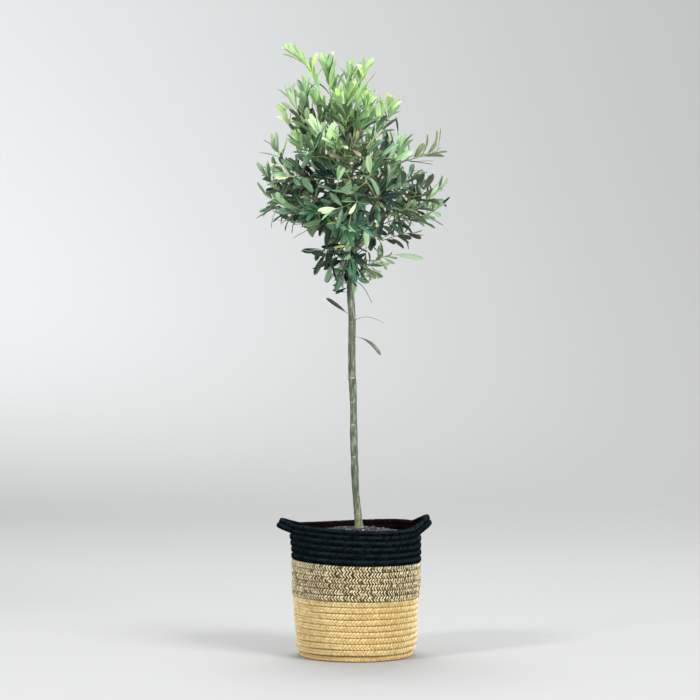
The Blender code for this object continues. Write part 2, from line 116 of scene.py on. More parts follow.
def principled(name, colour, rough, specular=0.5, sheen=0.0, sheen_rough=0.5, sheen_tint=None):
    mat = bpy.data.materials.new(name)
    mat.use_nodes = True
    nt = mat.node_tree
    bsdf = nt.nodes["Principled BSDF"]
    bsdf.inputs["Base Color"].default_value = colour
    bsdf.inputs["Roughness"].default_value = rough
    bsdf.inputs["Specular IOR Level"].default_value = specular
    bsdf.inputs["Sheen Weight"].default_value = sheen
    bsdf.inputs["Sheen Roughness"].default_value = sheen_rough
    if sheen_tint:
        bsdf.inputs["Sheen Tint"].default_value = sheen_tint
    mat.diffuse_color = colour
    return mat, nt, bsdf


def node(nt, kind, **values):
    n = nt.nodes.new(kind)
    for key, value in values.items():
        if key in n.inputs.keys():
            n.inputs[key].default_value = value
        else:
            setattr(n, key, value)
    return n


def here(nt, scale=(1, 1, 1)):
    """Object coordinates, stretched."""
    where = nt.nodes.new("ShaderNodeTexCoord")
    mapping = nt.nodes.new("ShaderNodeMapping")
    mapping.inputs["Scale"].default_value = scale
    nt.links.new(where.outputs["Object"], mapping.inputs["Vector"])
    return mapping.outputs["Vector"]


def noise_at(nt, scale, stretch=(1, 1, 1), detail=4.0, rough=0.55):
    n = node(nt, "ShaderNodeTexNoise", Scale=scale, Detail=detail, Roughness=rough)
    nt.links.new(here(nt, stretch), n.inputs["Vector"])
    return n.outputs["Fac"]


def ramp(nt, factor, stops):
    r = nt.nodes.new("ShaderNodeValToRGB")
    e = r.color_ramp.elements
    while len(e) < len(stops):
        e.new(0.5)
    for el, (at, colour) in zip(e, stops):
        el.position = at
        el.color = colour
    nt.links.new(factor, r.inputs["Fac"])
    return r.outputs["Color"]


def mixed(nt, factor, a, b, blend="MIX"):
    m = nt.nodes.new("ShaderNodeMix")
    m.data_type = "RGBA"
    m.blend_type = blend
    for value, key in ((factor, 0), (a, 6), (b, 7)):
        if isinstance(value, (int, float, tuple)):
            m.inputs[key].default_value = value
        else:
            nt.links.new(value, m.inputs[key])
    return m.outputs[2]


def bumped(nt, bsdf, height, strength, distance):
    b = node(nt, "ShaderNodeBump", Strength=strength, Distance=distance)
    nt.links.new(height, b.inputs["Height"])
    nt.links.new(b.outputs["Normal"], bsdf.inputs["Normal"])
    return b


def fibre_rope(name, colour, rough=0.85, sheen=0.25, specular=0.2):
    """Twisted fibre: fine strands show as bump along and across the braid."""
    mat, nt, bsdf = principled(name, colour, rough, specular, sheen, 0.6, colour)
    fine = noise_at(nt, 2600.0, (1, 1, 1), 3.0, 0.6)
    bumped(nt, bsdf, fine, 0.35, 0.0003)
    return mat


# ------------------------------------------------------------ meshes
def make_mesh(name, verts, polys, slots, mats, sharp=None, flat=False):
    """One object from arrays.  polys is a list of (k, n) index arrays, and slots
    a list of (k,) arrays of material numbers."""
    verts = np.asarray(verts, np.float32).reshape(-1, 3)
    me = bpy.data.meshes.new(name)
    loops = np.concatenate([np.asarray(p).ravel() for p in polys]).astype(np.int32)
    counts = np.concatenate([np.full(len(p), np.asarray(p).shape[1]) for p in polys])
    starts = np.concatenate([[0], np.cumsum(counts)[:-1]]).astype(np.int32)
    me.vertices.add(len(verts))
    me.vertices.foreach_set("co", verts.ravel())
    me.loops.add(len(loops))
    me.loops.foreach_set("vertex_index", loops)
    me.polygons.add(len(counts))
    me.polygons.foreach_set("loop_start", starts)
    me.polygons.foreach_set("material_index", np.concatenate(slots).astype(np.int32))
    me.update(calc_edges=True)
    me.validate()
    for m in mats:
        me.materials.append(m)
    if flat:
        me.shade_flat()
    else:
        me.shade_smooth()
        if sharp is not None:
            me.set_sharp_from_angle(angle=math.radians(sharp))
    ob = bpy.data.objects.new(name, me)
    bpy.context.scene.collection.objects.link(ob)
    return ob


class Heap:
    """Closed shapes gathered for one mesh."""

    def __init__(self):
        self.verts, self.polys, self.slots, self.count = [], [], [], 0

    def add(self, verts, faces, slots):
        """faces is a list of (k, n) arrays, and slots a number or a list of arrays."""
        verts = np.asarray(verts, float).reshape(-1, 3)
        for i, f in enumerate(faces):
            f = np.asarray(f, int)
            if not len(f):
                continue
            self.polys.append(f + self.count)
            s = slots if np.isscalar(slots) else slots[i]
            self.slots.append(np.full(len(f), s) if np.isscalar(s) else np.asarray(s))
        self.verts.append(verts)
        self.count += len(verts)

    def add_copies(self, verts, faces, slots):
        """verts is (copies, n, 3); faces one template list; slots (copies,) or a
        list of per-copy (copies, k) arrays."""
        copies, n = verts.shape[:2]
        step = (np.arange(copies) * n)[:, None, None]
        for i, f in enumerate(faces):
            f = np.asarray(f, int)
            self.polys.append((f[None] + step).reshape(-1, f.shape[1]) + self.count)
            s = slots[i] if isinstance(slots, list) else np.repeat(np.asarray(slots)[:, None], len(f), 1)
            self.slots.append(np.asarray(s).reshape(-1))
        self.verts.append(verts.reshape(-1, 3))
        self.count += copies * n

    def build(self, name, mats, **options):
        return make_mesh(name, np.concatenate(self.verts), self.polys, self.slots, mats, **options)


def through(points, t):
    """Catmull-Rom through rows of numbers; t (array) runs 0..len-1."""
    points = np.asarray(points, float)
    t = np.atleast_1d(np.asarray(t, float))
    i = np.clip(t.astype(int), 0, len(points) - 2)
    u = (t - i)[:, None]
    p0, p1 = points[np.maximum(i - 1, 0)], points[i]
    p2, p3 = points[i + 1], points[np.minimum(i + 2, len(points) - 1)]
    return 0.5 * (2 * p1 + (p2 - p0) * u + (2 * p0 - 5 * p1 + 4 * p2 - p3) * u**2 + (3 * p1 - p0 - 3 * p2 + p3) * u**3)


def resampled(points, step=None, count=None):
    """Points (with any further columns) spread evenly along their own line."""
    points = np.asarray(points, float)
    run = np.concatenate([[0], np.cumsum(np.linalg.norm(np.diff(points[:, :3], axis=0), axis=1))])
    if count is None:
        count = max(2, int(round(run[-1] / step)) + 1)
    want = np.linspace(0, run[-1], count)
    return np.stack([np.interp(want, run, points[:, c]) for c in range(points.shape[1])], 1)


def unit(v):
    v = np.asarray(v, float)
    return v / np.maximum(np.linalg.norm(v, axis=-1, keepdims=True), 1e-12)


def transported(points):
    """Tangent and two side vectors along a line, without twist."""
    t = unit(np.gradient(points, axis=0))
    first = np.array([1.0, 0, 0]) if abs(t[0][0]) < 0.8 else np.array([0, 1.0, 0])
    a = [unit(first - t[0] * first.dot(t[0]))]
    for i in range(1, len(t)):
        v = a[-1] - t[i] * a[-1].dot(t[i])
        a.append(unit(v))
    a = np.array(a)
    return t, a, np.cross(t, a)


def tube_rings(points, radii, sides):
    """(rings, sides, 3) positions round a line, and the frame used."""
    t, a, b = transported(points)
    ang = np.linspace(0, 2 * math.pi, sides, endpoint=False)
    around = a[:, None] * np.cos(ang)[None, :, None] + b[:, None] * np.sin(ang)[None, :, None]
    return points[:, None] + around * np.asarray(radii)[:, None, None], around, t


def tube_faces(rings, sides, start=0):
    i = np.arange(rings - 1)[:, None]
    j = np.arange(sides)[None]
    k = (j + 1) % sides
    q = np.stack([i * sides + j + 0 * k, i * sides + k + 0 * j, (i + 1) * sides + k + 0 * j, (i + 1) * sides + j + 0 * k], -1)
    return q.reshape(-1, 4) + start


def closed_tube(points, radii, sides):
    """Verts and faces of a tube with a flat root and a rounded tip."""
    rings, _, t = tube_rings(points, radii, sides)
    n = len(points)
    tip = points[-1] + t[-1] * radii[-1] * 0.8
    verts = np.concatenate([rings.reshape(-1, 3), points[:1], tip[None]])
    quads = tube_faces(n, sides)
    j = np.arange(sides)
    k = (j + 1) % sides
    root = np.stack([np.full(sides, n * sides), k, j], 1)
    end = np.stack([np.full(sides, n * sides + 1), (n - 1) * sides + j, (n - 1) * sides + k], 1)
    return verts, [quads, np.concatenate([root, end])]


def hashed(*keys):
    """Smooth-free random numbers 0..1 from whole-number keys."""
    x = np.zeros(np.broadcast(*keys).shape)
    for n, k in enumerate(keys):
        x = x + np.asarray(k) * (12.9898 + 65.137 * n)
    x = np.sin(x) * 43758.5453
    return x - np.floor(x)


def waves(rng, count, low, high):
    """Random directions, frequencies and phases for a smooth noise."""
    k = unit(rng.normal(size=(count, 3))) * rng.uniform(low, high, (count, 1))
    return k, rng.uniform(0, 2 * math.pi, count), 1 / np.sqrt(count)


def smooth_noise(p, w):
    k, phase, amp = w
    return np.sin(p @ k.T + phase).sum(-1) * amp * 1.2


# ------------------------------------------------------------ basket
def wall_r(z):
    """Outer radius of the basket's wall."""
    z = np.asarray(z, float)
    low = FOOT_R + (LOW_R - FOOT_R) * np.clip(z / FOOT_ROUND, 0, 1) ** 0.45
    mid = LOW_R + (STRAW_R - LOW_R) * (z - FOOT_ROUND) / (STRAW_TOP - FOOT_ROUND)
    t = np.clip((z - MID_Z) / (RIM_TOP - MID_Z), 0, 1)
    high = MID_R + (TOP_R - MID_R) * np.sin(t * math.pi / 2)
    return np.where(z < FOOT_ROUND, low, np.where(z <= STRAW_TOP, mid, high))


def rim_wave(angle):
    return RIM_WAVE * np.cos(2 * (angle - RIM_WAVE_AT))


def handle_push(angle):
    """Share, outward push, rise and lean of the rim at an angle."""
    share, out, rise = np.zeros_like(angle), np.zeros_like(angle), np.zeros_like(angle)
    for at, h_out, h_rise in HANDLES:
        off = np.abs((angle - at + math.pi) % (2 * math.pi) - math.pi)
        s = np.where(off < HANDLE_HALF, 0.5 * (1 + np.cos(math.pi * np.minimum(off, HANDLE_HALF) / HANDLE_HALF)), 0.0) ** 0.8
        share, out, rise = share + s, out + h_out * s, rise + h_rise * s
    return share, out, rise, HANDLE_LEAN * share


def coil_tilt(z):
    """The coil climbs a little from right to left."""
    return np.interp(z, (0.0, 0.02, STRAW_TOP, SPECKLED_TOP, BAND_FOOT, RIM_TOP), (0, 0.0002, 0.0018, 0.0029, 0.0008, 0.0))


class Row:
    """One turn of rope: its centre line, and the two directions of its section."""

    def __init__(self, low, high, kind, rim=None):
        self.low, self.high, self.kind, self.rim = low, high, kind, rim
        self.z = (low + high) / 2
        self.a = ROPE / 2
        self.b = (high - low) / 2 + 0.00012
        self.skin_b = (high - low) / 2 - {"straw": 0.00008, "speckled": 0.00010, "dark": 0.00045}[kind]
        self.length = 2 * math.pi * float(wall_r(self.z))

    def frame(self, angle):
        """Centre, outward, upward at each angle."""
        c, s = np.cos(angle), np.sin(angle)
        out = np.stack([c, s, np.zeros_like(c)], -1)
        up = np.zeros_like(out)
        up[..., 2] = 1.0
        level = np.interp(self.z, (0.15, 0.19), (0, 1))
        z = self.z - coil_tilt(self.z) * c + rim_wave(angle) * level
        slump = 0.0006 * np.sin(3 * angle + self.z * 55) + 0.00035 * np.sin(7 * angle - self.z * 140)
        r = wall_r(self.z) - self.a + slump * np.interp(self.z, (0.0, 0.03, 0.19, 0.21), (0.3, 1, 1, 0.5))
        wander = 0.00045 * np.sin(3 * angle + self.z * 62) + 0.00014 * np.sin(5 * angle + self.z * 210)
        z = z + wander * np.interp(self.z, (0.0, 0.012, 0.19, 0.20), (0, 1, 1, 0.5))
        if self.rim is None:
            # the rows just below the handles are drawn out a little with them
            share, _, _, _ = handle_push(angle)
            r = r + 0.0012 * share * np.interp(self.z, (0.165, 0.19), (0, 1))
            z = z + self.swell(angle)
        else:
            share, push, rise, lean = handle_push(angle)
            r = r + push
            centre_z = (BAND_FOOT + RIM_TOP) / 2
            z = z - (self.z - centre_z) + rise
            cl, sl = np.cos(lean)[..., None], np.sin(lean)[..., None]
            out, up = out * cl + up * sl, up * cl - out * sl
            centre = np.stack([r * c, r * s, z], -1) + up * (self.z - centre_z)
            return centre, out, up
        return np.stack([r * c, r * s, z], -1), out, up

    def flatness(self, angle):
        """The rope is pressed a little flat, most of all in the handles."""
        if self.rim is not None:
            return 0.70 - 0.28 * handle_push(angle)[0]
        return {"straw": 0.70, "speckled": 0.74, "dark": 0.72}[self.kind]

    def swell(self, angle):
        """Half of what the turn under the rim thickens by where a handle leaves it."""
        if self.rim is not None or self.z < 0.185:
            return np.zeros_like(angle)
        rise = handle_push(angle)[2]
        return 0.5 * np.interp(rise, (0.0, 0.0030, 0.0080), (0.0, 0.0032, 0.0))

    def surface(self, angle, theta, height, b):
        """A point on the rope, height above its skin; theta 0 faces out, 90 up."""
        centre, out, up = self.frame(angle)
        c, s = np.cos(theta), np.sin(theta)
        c = np.sign(c) * np.abs(c) ** self.flatness(angle)
        b = b + self.swell(angle)
        return centre + out * ((self.a + height) * c)[..., None] + up * ((b + height) * s)[..., None]


def rows_of_basket():
    rows = []
    n = 10
    for i in range(n):
        rows.append(Row(STRAW_TOP * i / n, STRAW_TOP * (i + 1) / n, "straw"))
    for i in range(6):
        h = (SPECKLED_TOP - STRAW_TOP) / 6
        rows.append(Row(STRAW_TOP + h * i, STRAW_TOP + h * (i + 1), "speckled"))
    for i in range(4):
        h = (BAND_FOOT - SPECKLED_TOP) / 4
        rows.append(Row(SPECKLED_TOP + h * i, SPECKLED_TOP + h * (i + 1), "dark"))
    h = (RIM_TOP - BAND_FOOT) / 2
    rows.append(Row(BAND_FOOT, BAND_FOOT + h, "dark", rim=0))
    rows.append(Row(BAND_FOOT + h, RIM_TOP, "dark", rim=1))
    return rows


# one strand of the braid where it shows: rings along it, points round it
STRAND_U = np.array([-0.62, 0.0, 0.62])
STRAND_RING = np.array([(-1.0, -0.10), (-0.60, 0.74), (0.0, 1.0), (0.60, 0.74), (1.0, -0.10), (0.0, -0.75)])


def strand_template():
    n, m = len(STRAND_U), len(STRAND_RING)
    j = np.arange(m)
    k = (j + 1) % m
    first = np.stack([np.full(m, n * m), k, j], 1)
    last = np.stack([np.full(m, n * m + 1), (n - 1) * m + j, (n - 1) * m + k], 1)
    return [tube_faces(n, m), np.concatenate([first, last])]


def strands(row, number, row_index, side, slant, slope, theta0, spread, width, thick, rise, pair=0.0, lift=0.0):
    """(number, verts, 3): the strands of one half row.  theta0 is the middle of the
    half row on the rope's section and spread its half height, in radians."""
    i = np.arange(number)
    jitter = hashed(i, row_index, side)
    pitch = 2 * math.pi / number
    # the lower half row's strands dive between those of the upper half row
    phase = hashed(np.array(row_index), np.array(side // 2 + 7.3)) * 2 * math.pi + (side % 2) * pitch * (1.0 if pair else 0.5)
    start = phase + pitch * (i + 0.40 * (jitter - 0.5)) + pair * pitch * np.where(i % 2 == 0, 1, -1)
    advance = slant * row.b * spread / math.tan(slope) / (row.length / (2 * math.pi))
    n_u, m = len(STRAND_U), len(STRAND_RING)
    u = np.concatenate([np.repeat(STRAND_U, m), [-1.0, 1.0]])
    lat = np.concatenate([np.tile(STRAND_RING[:, 0], n_u), [0, 0]])
    hgt = np.concatenate([np.tile(STRAND_RING[:, 1], n_u), [0, 0]])
    full = np.sqrt(np.clip(1 - np.abs(u) ** 3.0, 0, 1))
    w = width * (1 + 0.16 * (hashed(i, row_index + 31, side) - 0.5))
    t = thick * (1 + 0.25 * (hashed(i, row_index + 57, side) - 0.5))
    # along the strand, and square to it on the rope's skin
    nx, ny = math.sin(slope), -math.copysign(math.cos(slope), slant)
    across = w[:, None] * (full * lat)[None]
    reach = advance * (1 + 0.35 * (hashed(i, row_index + 23, side) - 0.5))
    angle = start[:, None] + reach[:, None] * u[None] + across * nx / (row.length / (2 * math.pi))
    theta = theta0 + spread * u[None] + across * ny / row.b
    height = lift - rise * (np.abs(u) ** 2)[None] * 1.0 + t[:, None] * (full * hgt)[None] - 0.0001
    height = height + 0.00016 * (hashed(i, row_index + 11, side) - 0.5)[:, None]
    return row.surface(angle, np.broadcast_to(theta, angle.shape), np.broadcast_to(height, angle.shape), row.skin_b), start


def core(row, inset, square=1.0, steps=220, sides=12):
    """The rope under its braid, a closed ring; square under 1 fills the groove."""
    angle = np.linspace(0, 2 * math.pi, steps, endpoint=False)
    theta = np.linspace(0, 2 * math.pi, sides, endpoint=False)
    a, t = np.meshgrid(angle, theta, indexing="ij")
    centre, out, up = row.frame(a)
    c, s = np.cos(t), np.sin(t)
    if row.rim is not None:
        square = square - 0.35 * handle_push(a)[0]
    c = np.sign(c) * np.abs(c) ** square
    s = np.sign(s) * np.abs(s) ** np.minimum(square, 0.8)
    top = foot = np.full_like(a, row.b + (0.0006 if row.kind == "dark" else 0.0))
    bare = row.skin_b - 0.0009  # where no turn lies against it
    if row.rim == 1:
        top = np.full_like(a, bare)
    elif row.rim == 0:
        foot = foot + (bare - foot) * np.clip(handle_push(a)[0] * 4 - 1.4, 0, 1)
    b = np.where(s > 0, top, foot) + row.swell(a)
    p = centre + out * ((row.a - inset) * c)[..., None] + up * (b * s)[..., None]
    i = np.arange(steps)[:, None]
    j = np.arange(sides)[None]
    i2, j2 = (i + 1) % steps, (j + 1) % sides
    q = np.stack([i * sides + j, i2 * sides + j, i2 * sides + j2, i * sides + j2], -1)
    return p.reshape(-1, 3), [q.reshape(-1, 4)]


def rested(p):
    """What would sink into the ground is pressed flat just above it."""
    p = p.copy()
    low = 0.0006
    z = p[..., 2]
    p[..., 2] = np.where(z < low, low * np.exp((np.minimum(z, low) - low) / low), z)
    return p


def build_basket():
    deg = math.radians
    rows = rows_of_basket()
    template = strand_template()
    straw_tones = [(219, 201, 154), (212, 191, 140), (223, 207, 164), (199, 173, 117), (207, 183, 131)]
    # painted shade and bounce light for the strands of the bottom row
    foot_shade_tones = [(218, 184, 130), (204, 168, 114)]
    speck_tones = [(234, 223, 186), (202, 186, 144), (132, 112, 74), (60, 52, 33)]
    dark_tones = [(13, 23, 27), (23, 35, 39), (3, 9, 12)]
    inner_tones = [(24, 10, 14), (15, 7, 11), (32, 14, 18)]
    mats = {
        "straw": [fibre_rope(f"straw_fibre_{i}", linear(*c), 0.9, 0.0, 0.10) for i, c in enumerate(straw_tones + foot_shade_tones)],
        "speckled": [fibre_rope(f"speckled_fibre_{i}", linear(*c), 0.85, 0.0) for i, c in enumerate(speck_tones)],
        "dark": [fibre_rope(f"dark_fibre_{i}", linear(*c), 0.9, 0.0, 0.03) for i, c in enumerate(dark_tones + inner_tones)],
    }
    heaps = {k: Heap() for k in ("straw", "speckled", "dark")}
    cores = {k: Heap() for k in ("straw", "speckled", "dark")}
    patch = waves(np.random.default_rng(5), 6, 18, 50)
    for n, row in enumerate(rows):
        heap, kind = heaps[row.kind], row.kind
        # no two turns are drawn quite equally tight
        low, high = {"straw": (200, 228), "speckled": (232, 288), "dark": (200, 228)}[kind]
        number = 2 * int(round((low + (high - low) * hashed(np.array(n), 71)) / 2))
        pair = {"straw": 0.18, "speckled": 0.0, "dark": 0.12}[kind]
        slope = deg({"straw": 54, "speckled": 55, "dark": 50}[kind])
        width = row.length / number * math.sin(slope) * {"straw": 0.50, "speckled": 0.48, "dark": 0.53}[kind]
        inset, square = {"straw": (0.0009, 0.46), "speckled": (0.0009, 0.46), "dark": (0.0013, 0.6)}[kind]
        v, f = core(row, inset, square, sides=16)
        cores[kind].add(rested(v) if n == 0 else v, f, n % 2)
        middle, reach = {"straw": (deg(33), deg(44)), "speckled": (deg(34), deg(41)), "dark": (deg(34), deg(42))}[kind]
        halves = [(0, 1, middle, reach), (1, -1, -middle, reach)]
        if row.z > 0.182:  # the rows that show inside, above the soil
            halves += [(2, -1, deg(180 - 36), deg(40)), (3, 1, deg(180 + 36), deg(40))]
        if n == 0:  # the bottom row rounds under the basket
            halves.append((4, 1, deg(-118), deg(36)))
        if row.rim is not None:  # the top of the rim and the underside of the handles
            halves.append((5, 1, deg(90), deg(19)) if row.rim else (6, -1, deg(-90), deg(19)))
        for side, slant, theta0, spread in halves:
            verts, start = strands(row, number, n, side, slant, slope, theta0, spread, width, 0.00105, 0.0003, pair)
            i = np.arange(number)
            h = hashed(i, n + 3, side)
            if kind == "speckled":
                swap = hashed(i, n + 91, side)
                pale = np.where(swap < 0.72, 0, 1)
                deep_ = np.where(swap < 0.86, 3, 2)
                slip = hashed(i // 11, n + 45, side) < 0.5
                odd = (i + slip) % 2 == 0
                slot = np.where(odd, pale, deep_)
                stray = hashed(i, n + 7, side + 3)
                slot = np.where(stray < 0.05, 1, np.where(stray > 0.95, 2, slot))
            elif kind == "straw":
                here_at = np.stack([np.cos(start) * 0.1, np.sin(start) * 0.1, np.full(number, row.z)], 1)
                # Tone from smooth random patches, random strand tone and alternately lighter and darker strands;
                # painted shade on top of that: the upper half row is offset darker than the lower, to even out the
                # light from above.
                shade = smooth_noise(here_at, patch) + 1.7 * (h - 0.5) + 0.80 * np.where(i % 2 == 0, 1, -1) + (-0.42 if side == 0 else -0.26)
                slot = np.digitize(shade, (-0.55, 0.25, 0.75))
                slot = np.array([3, 0, 2, 2])[slot]
                slot = np.where((h > 0.42) & (h < 0.62), 1, slot)
                # Slot 4 is a random tone, and is also given more often on the basket's left side as painted shade of
                # that side.
                slot = np.where((hashed(i, n + 17, side) < 0.10) | ((np.cos(start) < -0.4) & (h < 0.16)), 4, slot)
                # painted shade and bounce light: on the bottom row a third of the strands take the warm foot tone, and
                # more of the lower and under halves the darker one
                if n == 0:
                    slot = np.where(h < 0.34, 5, np.where((h > 0.62) & (side != 0), 6, slot))
            else:
                slot = np.digitize(h, (0.45, 0.75))
                if side in (2, 3):
                    slot = slot + 3
                # painted highlight: the upper half of each rope takes mostly the lighter tones
                elif side == 0:
                    slot = np.where(h < 0.60, 1, np.where(h < 0.92, 0, 2))
                elif side == 1:  # painted shade: the lower half of each rope takes mostly the darkest tone
                    slot = np.where(h < 0.74, 2, 0)
            heap.add_copies(rested(verts) if n == 0 else verts, template, slot)
    # the underside: the coil's flat spiral
    turns = (wall_r(0.005) - ROPE / 2 - 0.0092) / 0.0096
    ang = np.linspace(0, 2 * math.pi * turns, int(90 * turns))
    r = 0.0035 + 0.0096 * ang / (2 * math.pi)
    line = np.stack([r * np.cos(ang), r * np.sin(ang), np.full_like(r, 0.0046)], 1)
    v, f = closed_tube(line, np.full(len(line), 0.0045), 10)
    cores["straw"].add(rested(v), f, 0)
    # painted shade: the cores, seen in the grooves and between strands, are coloured darker than the strands
    core_shade = {"straw": [(182, 148, 80), (174, 140, 74)], "speckled": [(112, 96, 64), (104, 88, 58)], "dark": [(3, 6, 8), (4, 7, 9)]}
    made = []
    nodes_of = {
        "straw": ["basket_straw_band"],
        "speckled": ["basket_speckled_band"],
        "dark": ["basket_dark_band", "rim_back", "rim_front", "handle_left", "handle_right"],
    }
    for kind in heaps:
        ob = heaps[kind].build(f"basket_{kind}_braid", mats[kind])
        inner = []
        for i, c in enumerate(core_shade[kind]):
            mat, nt, bsdf = principled(f"{kind}_core_{i}", linear(*c), 0.95, 0.2)
            grain = noise_at(nt, 900.0, (1, 1, 3), 3.0)
            lo = tuple(x * 0.7 for x in linear(*c)[:3]) + (1,)
            nt.links.new(ramp(nt, grain, [(0.35, lo), (0.65, linear(*c))]), bsdf.inputs["Base Color"])
            inner.append(mat)
        ob2 = cores[kind].build(f"basket_{kind}_core", inner)
        for o in (ob, ob2):
            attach(o, "root")
            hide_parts(*nodes_of[kind])
            made.append(o)
    return made


# ------------------------------------------------------------ soil
def soil_z(r, ang=None):
    edge = wall_r(SOIL_TOP - SOIL_DROP) - ROPE
    t = np.clip((r - SOIL_FLAT_R) / (edge - SOIL_FLAT_R), 0, 1)
    return SOIL_TOP - SOIL_DROP * t**1.6


def build_soil():
    rng = np.random.default_rng(11)
    lumps = waves(rng, 18, 120, 600)
    edge = float(wall_r(SOIL_TOP - SOIL_DROP)) - ROPE + 0.0012
    rings, sides = 60, 180
    r = np.linspace(0.0006, edge, rings)
    ang = np.linspace(0, 2 * math.pi, sides, endpoint=False)
    R, A = np.meshgrid(r, ang, indexing="ij")
    P = np.stack([R * np.cos(A), R * np.sin(A), soil_z(R)], -1)
    P[..., 2] += 0.0009 * smooth_noise(P, lumps) - 0.0012
    P[..., 2] = np.minimum(P[..., 2], SOIL_TOP)
    side_z = np.array([0.150, 0.060, 0.016])
    lower = []
    for z in side_z:
        rr = float(wall_r(z)) - ROPE + 0.0006
        lower.append(np.stack([rr * np.cos(ang), rr * np.sin(ang), np.full(sides, z)], -1))
    P = np.concatenate([P, np.array(lower)])
    n = len(P)
    verts = np.concatenate([P.reshape(-1, 3), [[0, 0, soil_z(0.0) - 0.0008]], [[0, 0, 0.0095]]])
    quads = tube_faces(n, sides)[:, ::-1]
    j = np.arange(sides)
    k = (j + 1) % sides
    top = np.stack([np.full(sides, n * sides), j, k], 1)
    under = np.stack([np.full(sides, n * sides + 1), (n - 1) * sides + k, (n - 1) * sides + j], 1)
    mat, nt, bsdf = principled("potting_mix", linear(58, 50, 44), 0.95, 0.2)
    fac = noise_at(nt, 420.0, (1, 1, 1), 6.0, 0.65)
    col = ramp(nt, fac, [(0.30, linear(28, 23, 20)), (0.52, linear(62, 52, 45)), (0.70, linear(104, 98, 94))])
    nt.links.new(col, bsdf.inputs["Base Color"])
    bumped(nt, bsdf, noise_at(nt, 1500.0, (1, 1, 1), 4.0), 0.8, 0.0008)
    heap = Heap()
    heap.add(verts, [quads, np.concatenate([top, under])], 0)
    fill = heap.build("soil_fill", [mat])
    # grit, perlite and bark chips lying on it
    phi = (1 + 5**0.5) / 2
    ico = unit(np.array([(-1, phi, 0), (1, phi, 0), (-1, -phi, 0), (1, -phi, 0), (0, -1, phi), (0, 1, phi), (0, -1, -phi), (0, 1, -phi), (phi, 0, -1), (phi, 0, 1), (-phi, 0, -1), (-phi, 0, 1)]))
    tri = np.array([(0, 11, 5), (0, 5, 1), (0, 1, 7), (0, 7, 10), (0, 10, 11), (1, 5, 9), (5, 11, 4), (11, 10, 2), (10, 7, 6), (7, 1, 8), (3, 9, 4), (3, 4, 2), (3, 2, 6), (3, 6, 8), (3, 8, 9), (4, 9, 5), (2, 4, 11), (6, 2, 10), (8, 6, 7), (9, 8, 1)])
    count = 3400
    rr = edge * np.sqrt(rng.uniform(0.004, 0.985, count))
    aa = rng.uniform(0, 2 * math.pi, count)
    size = rng.uniform(0.0008, 0.0021, count) * np.where(rng.random(count) < 0.12, 1.5, 1.0)
    size = np.minimum(size, 0.0030)
    keep = np.hypot(rr * np.cos(aa) - TRUNK[0][1], rr * np.sin(aa)) > 0.0105
    rr, aa, size = rr[keep], aa[keep], size[keep]
    rr = np.minimum(rr, edge - size - 0.0008)
    count = len(rr)
    shape = ico[None] * (1 + 0.28 * rng.uniform(-1, 1, (count, 12, 1))) * rng.uniform(0.62, 1.15, (count, 1, 3))
    spin = rng.uniform(0, 2 * math.pi, count)
    c, s = np.cos(spin), np.sin(spin)
    x = shape[..., 0] * c[:, None] - shape[..., 1] * s[:, None]
    y = shape[..., 0] * s[:, None] + shape[..., 1] * c[:, None]
    pos = np.stack([rr * np.cos(aa), rr * np.sin(aa), np.minimum(soil_z(rr) + size * 0.15 - 0.0002, SOIL_TOP + 0.0004)], 1)
    verts = np.stack([x, y, shape[..., 2] * 0.8], -1) * size[:, None, None] + pos[:, None]
    tones = [(84, 86, 98), (60, 62, 74), (172, 174, 180), (48, 42, 38), (28, 25, 24), (64, 58, 54)]
    pick = rng.choice(6, count, p=[0.22, 0.26, 0.025, 0.205, 0.19, 0.10])
    grit = Heap()
    grit.add_copies(verts, [tri], pick)
    gm = []
    for i, tone in enumerate(tones):
        mat, nt, bsdf = principled(f"grit_{i}", linear(*tone), 0.9, 0.3)
        bumped(nt, bsdf, noise_at(nt, 3000.0), 0.4, 0.0002)
        gm.append(mat)
    grit = grit.build("soil_grit", gm, flat=True)
    for o in (fill, grit):
        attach(o, "root")
        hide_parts("soil")
    return fill, grit


# ------------------------------------------------------------ trunk and boughs
def limb_rows(name):
    """Dense rows (x, y, z, radius) along a limb of the frame."""
    if name == "trunk":
        rows = np.array([(x, y, z, r) for z, x, y, r in TRUNK])
    else:
        bearer, height, end, root_r, end_r, sag, bow = BOUGHS[name]
        base = limb_rows(bearer)
        if height is None:
            start = base[-1][:3] + (0, 0, 0.0005)
        else:
            start = np.array([np.interp(height, base[:, 2], base[:, c]) for c in range(3)])
        t = np.linspace(0, 1, 6)[:, None]
        p = start + (np.array(end) - start) * t
        p[:, 2:3] -= sag * 4 * t * (1 - t)
        p[:, 0:1] += bow * 4 * t * (1 - t)
        rows = np.concatenate([p, root_r + (end_r - root_r) * t], 1)
    return through(rows, np.linspace(0, len(rows) - 1, 240))


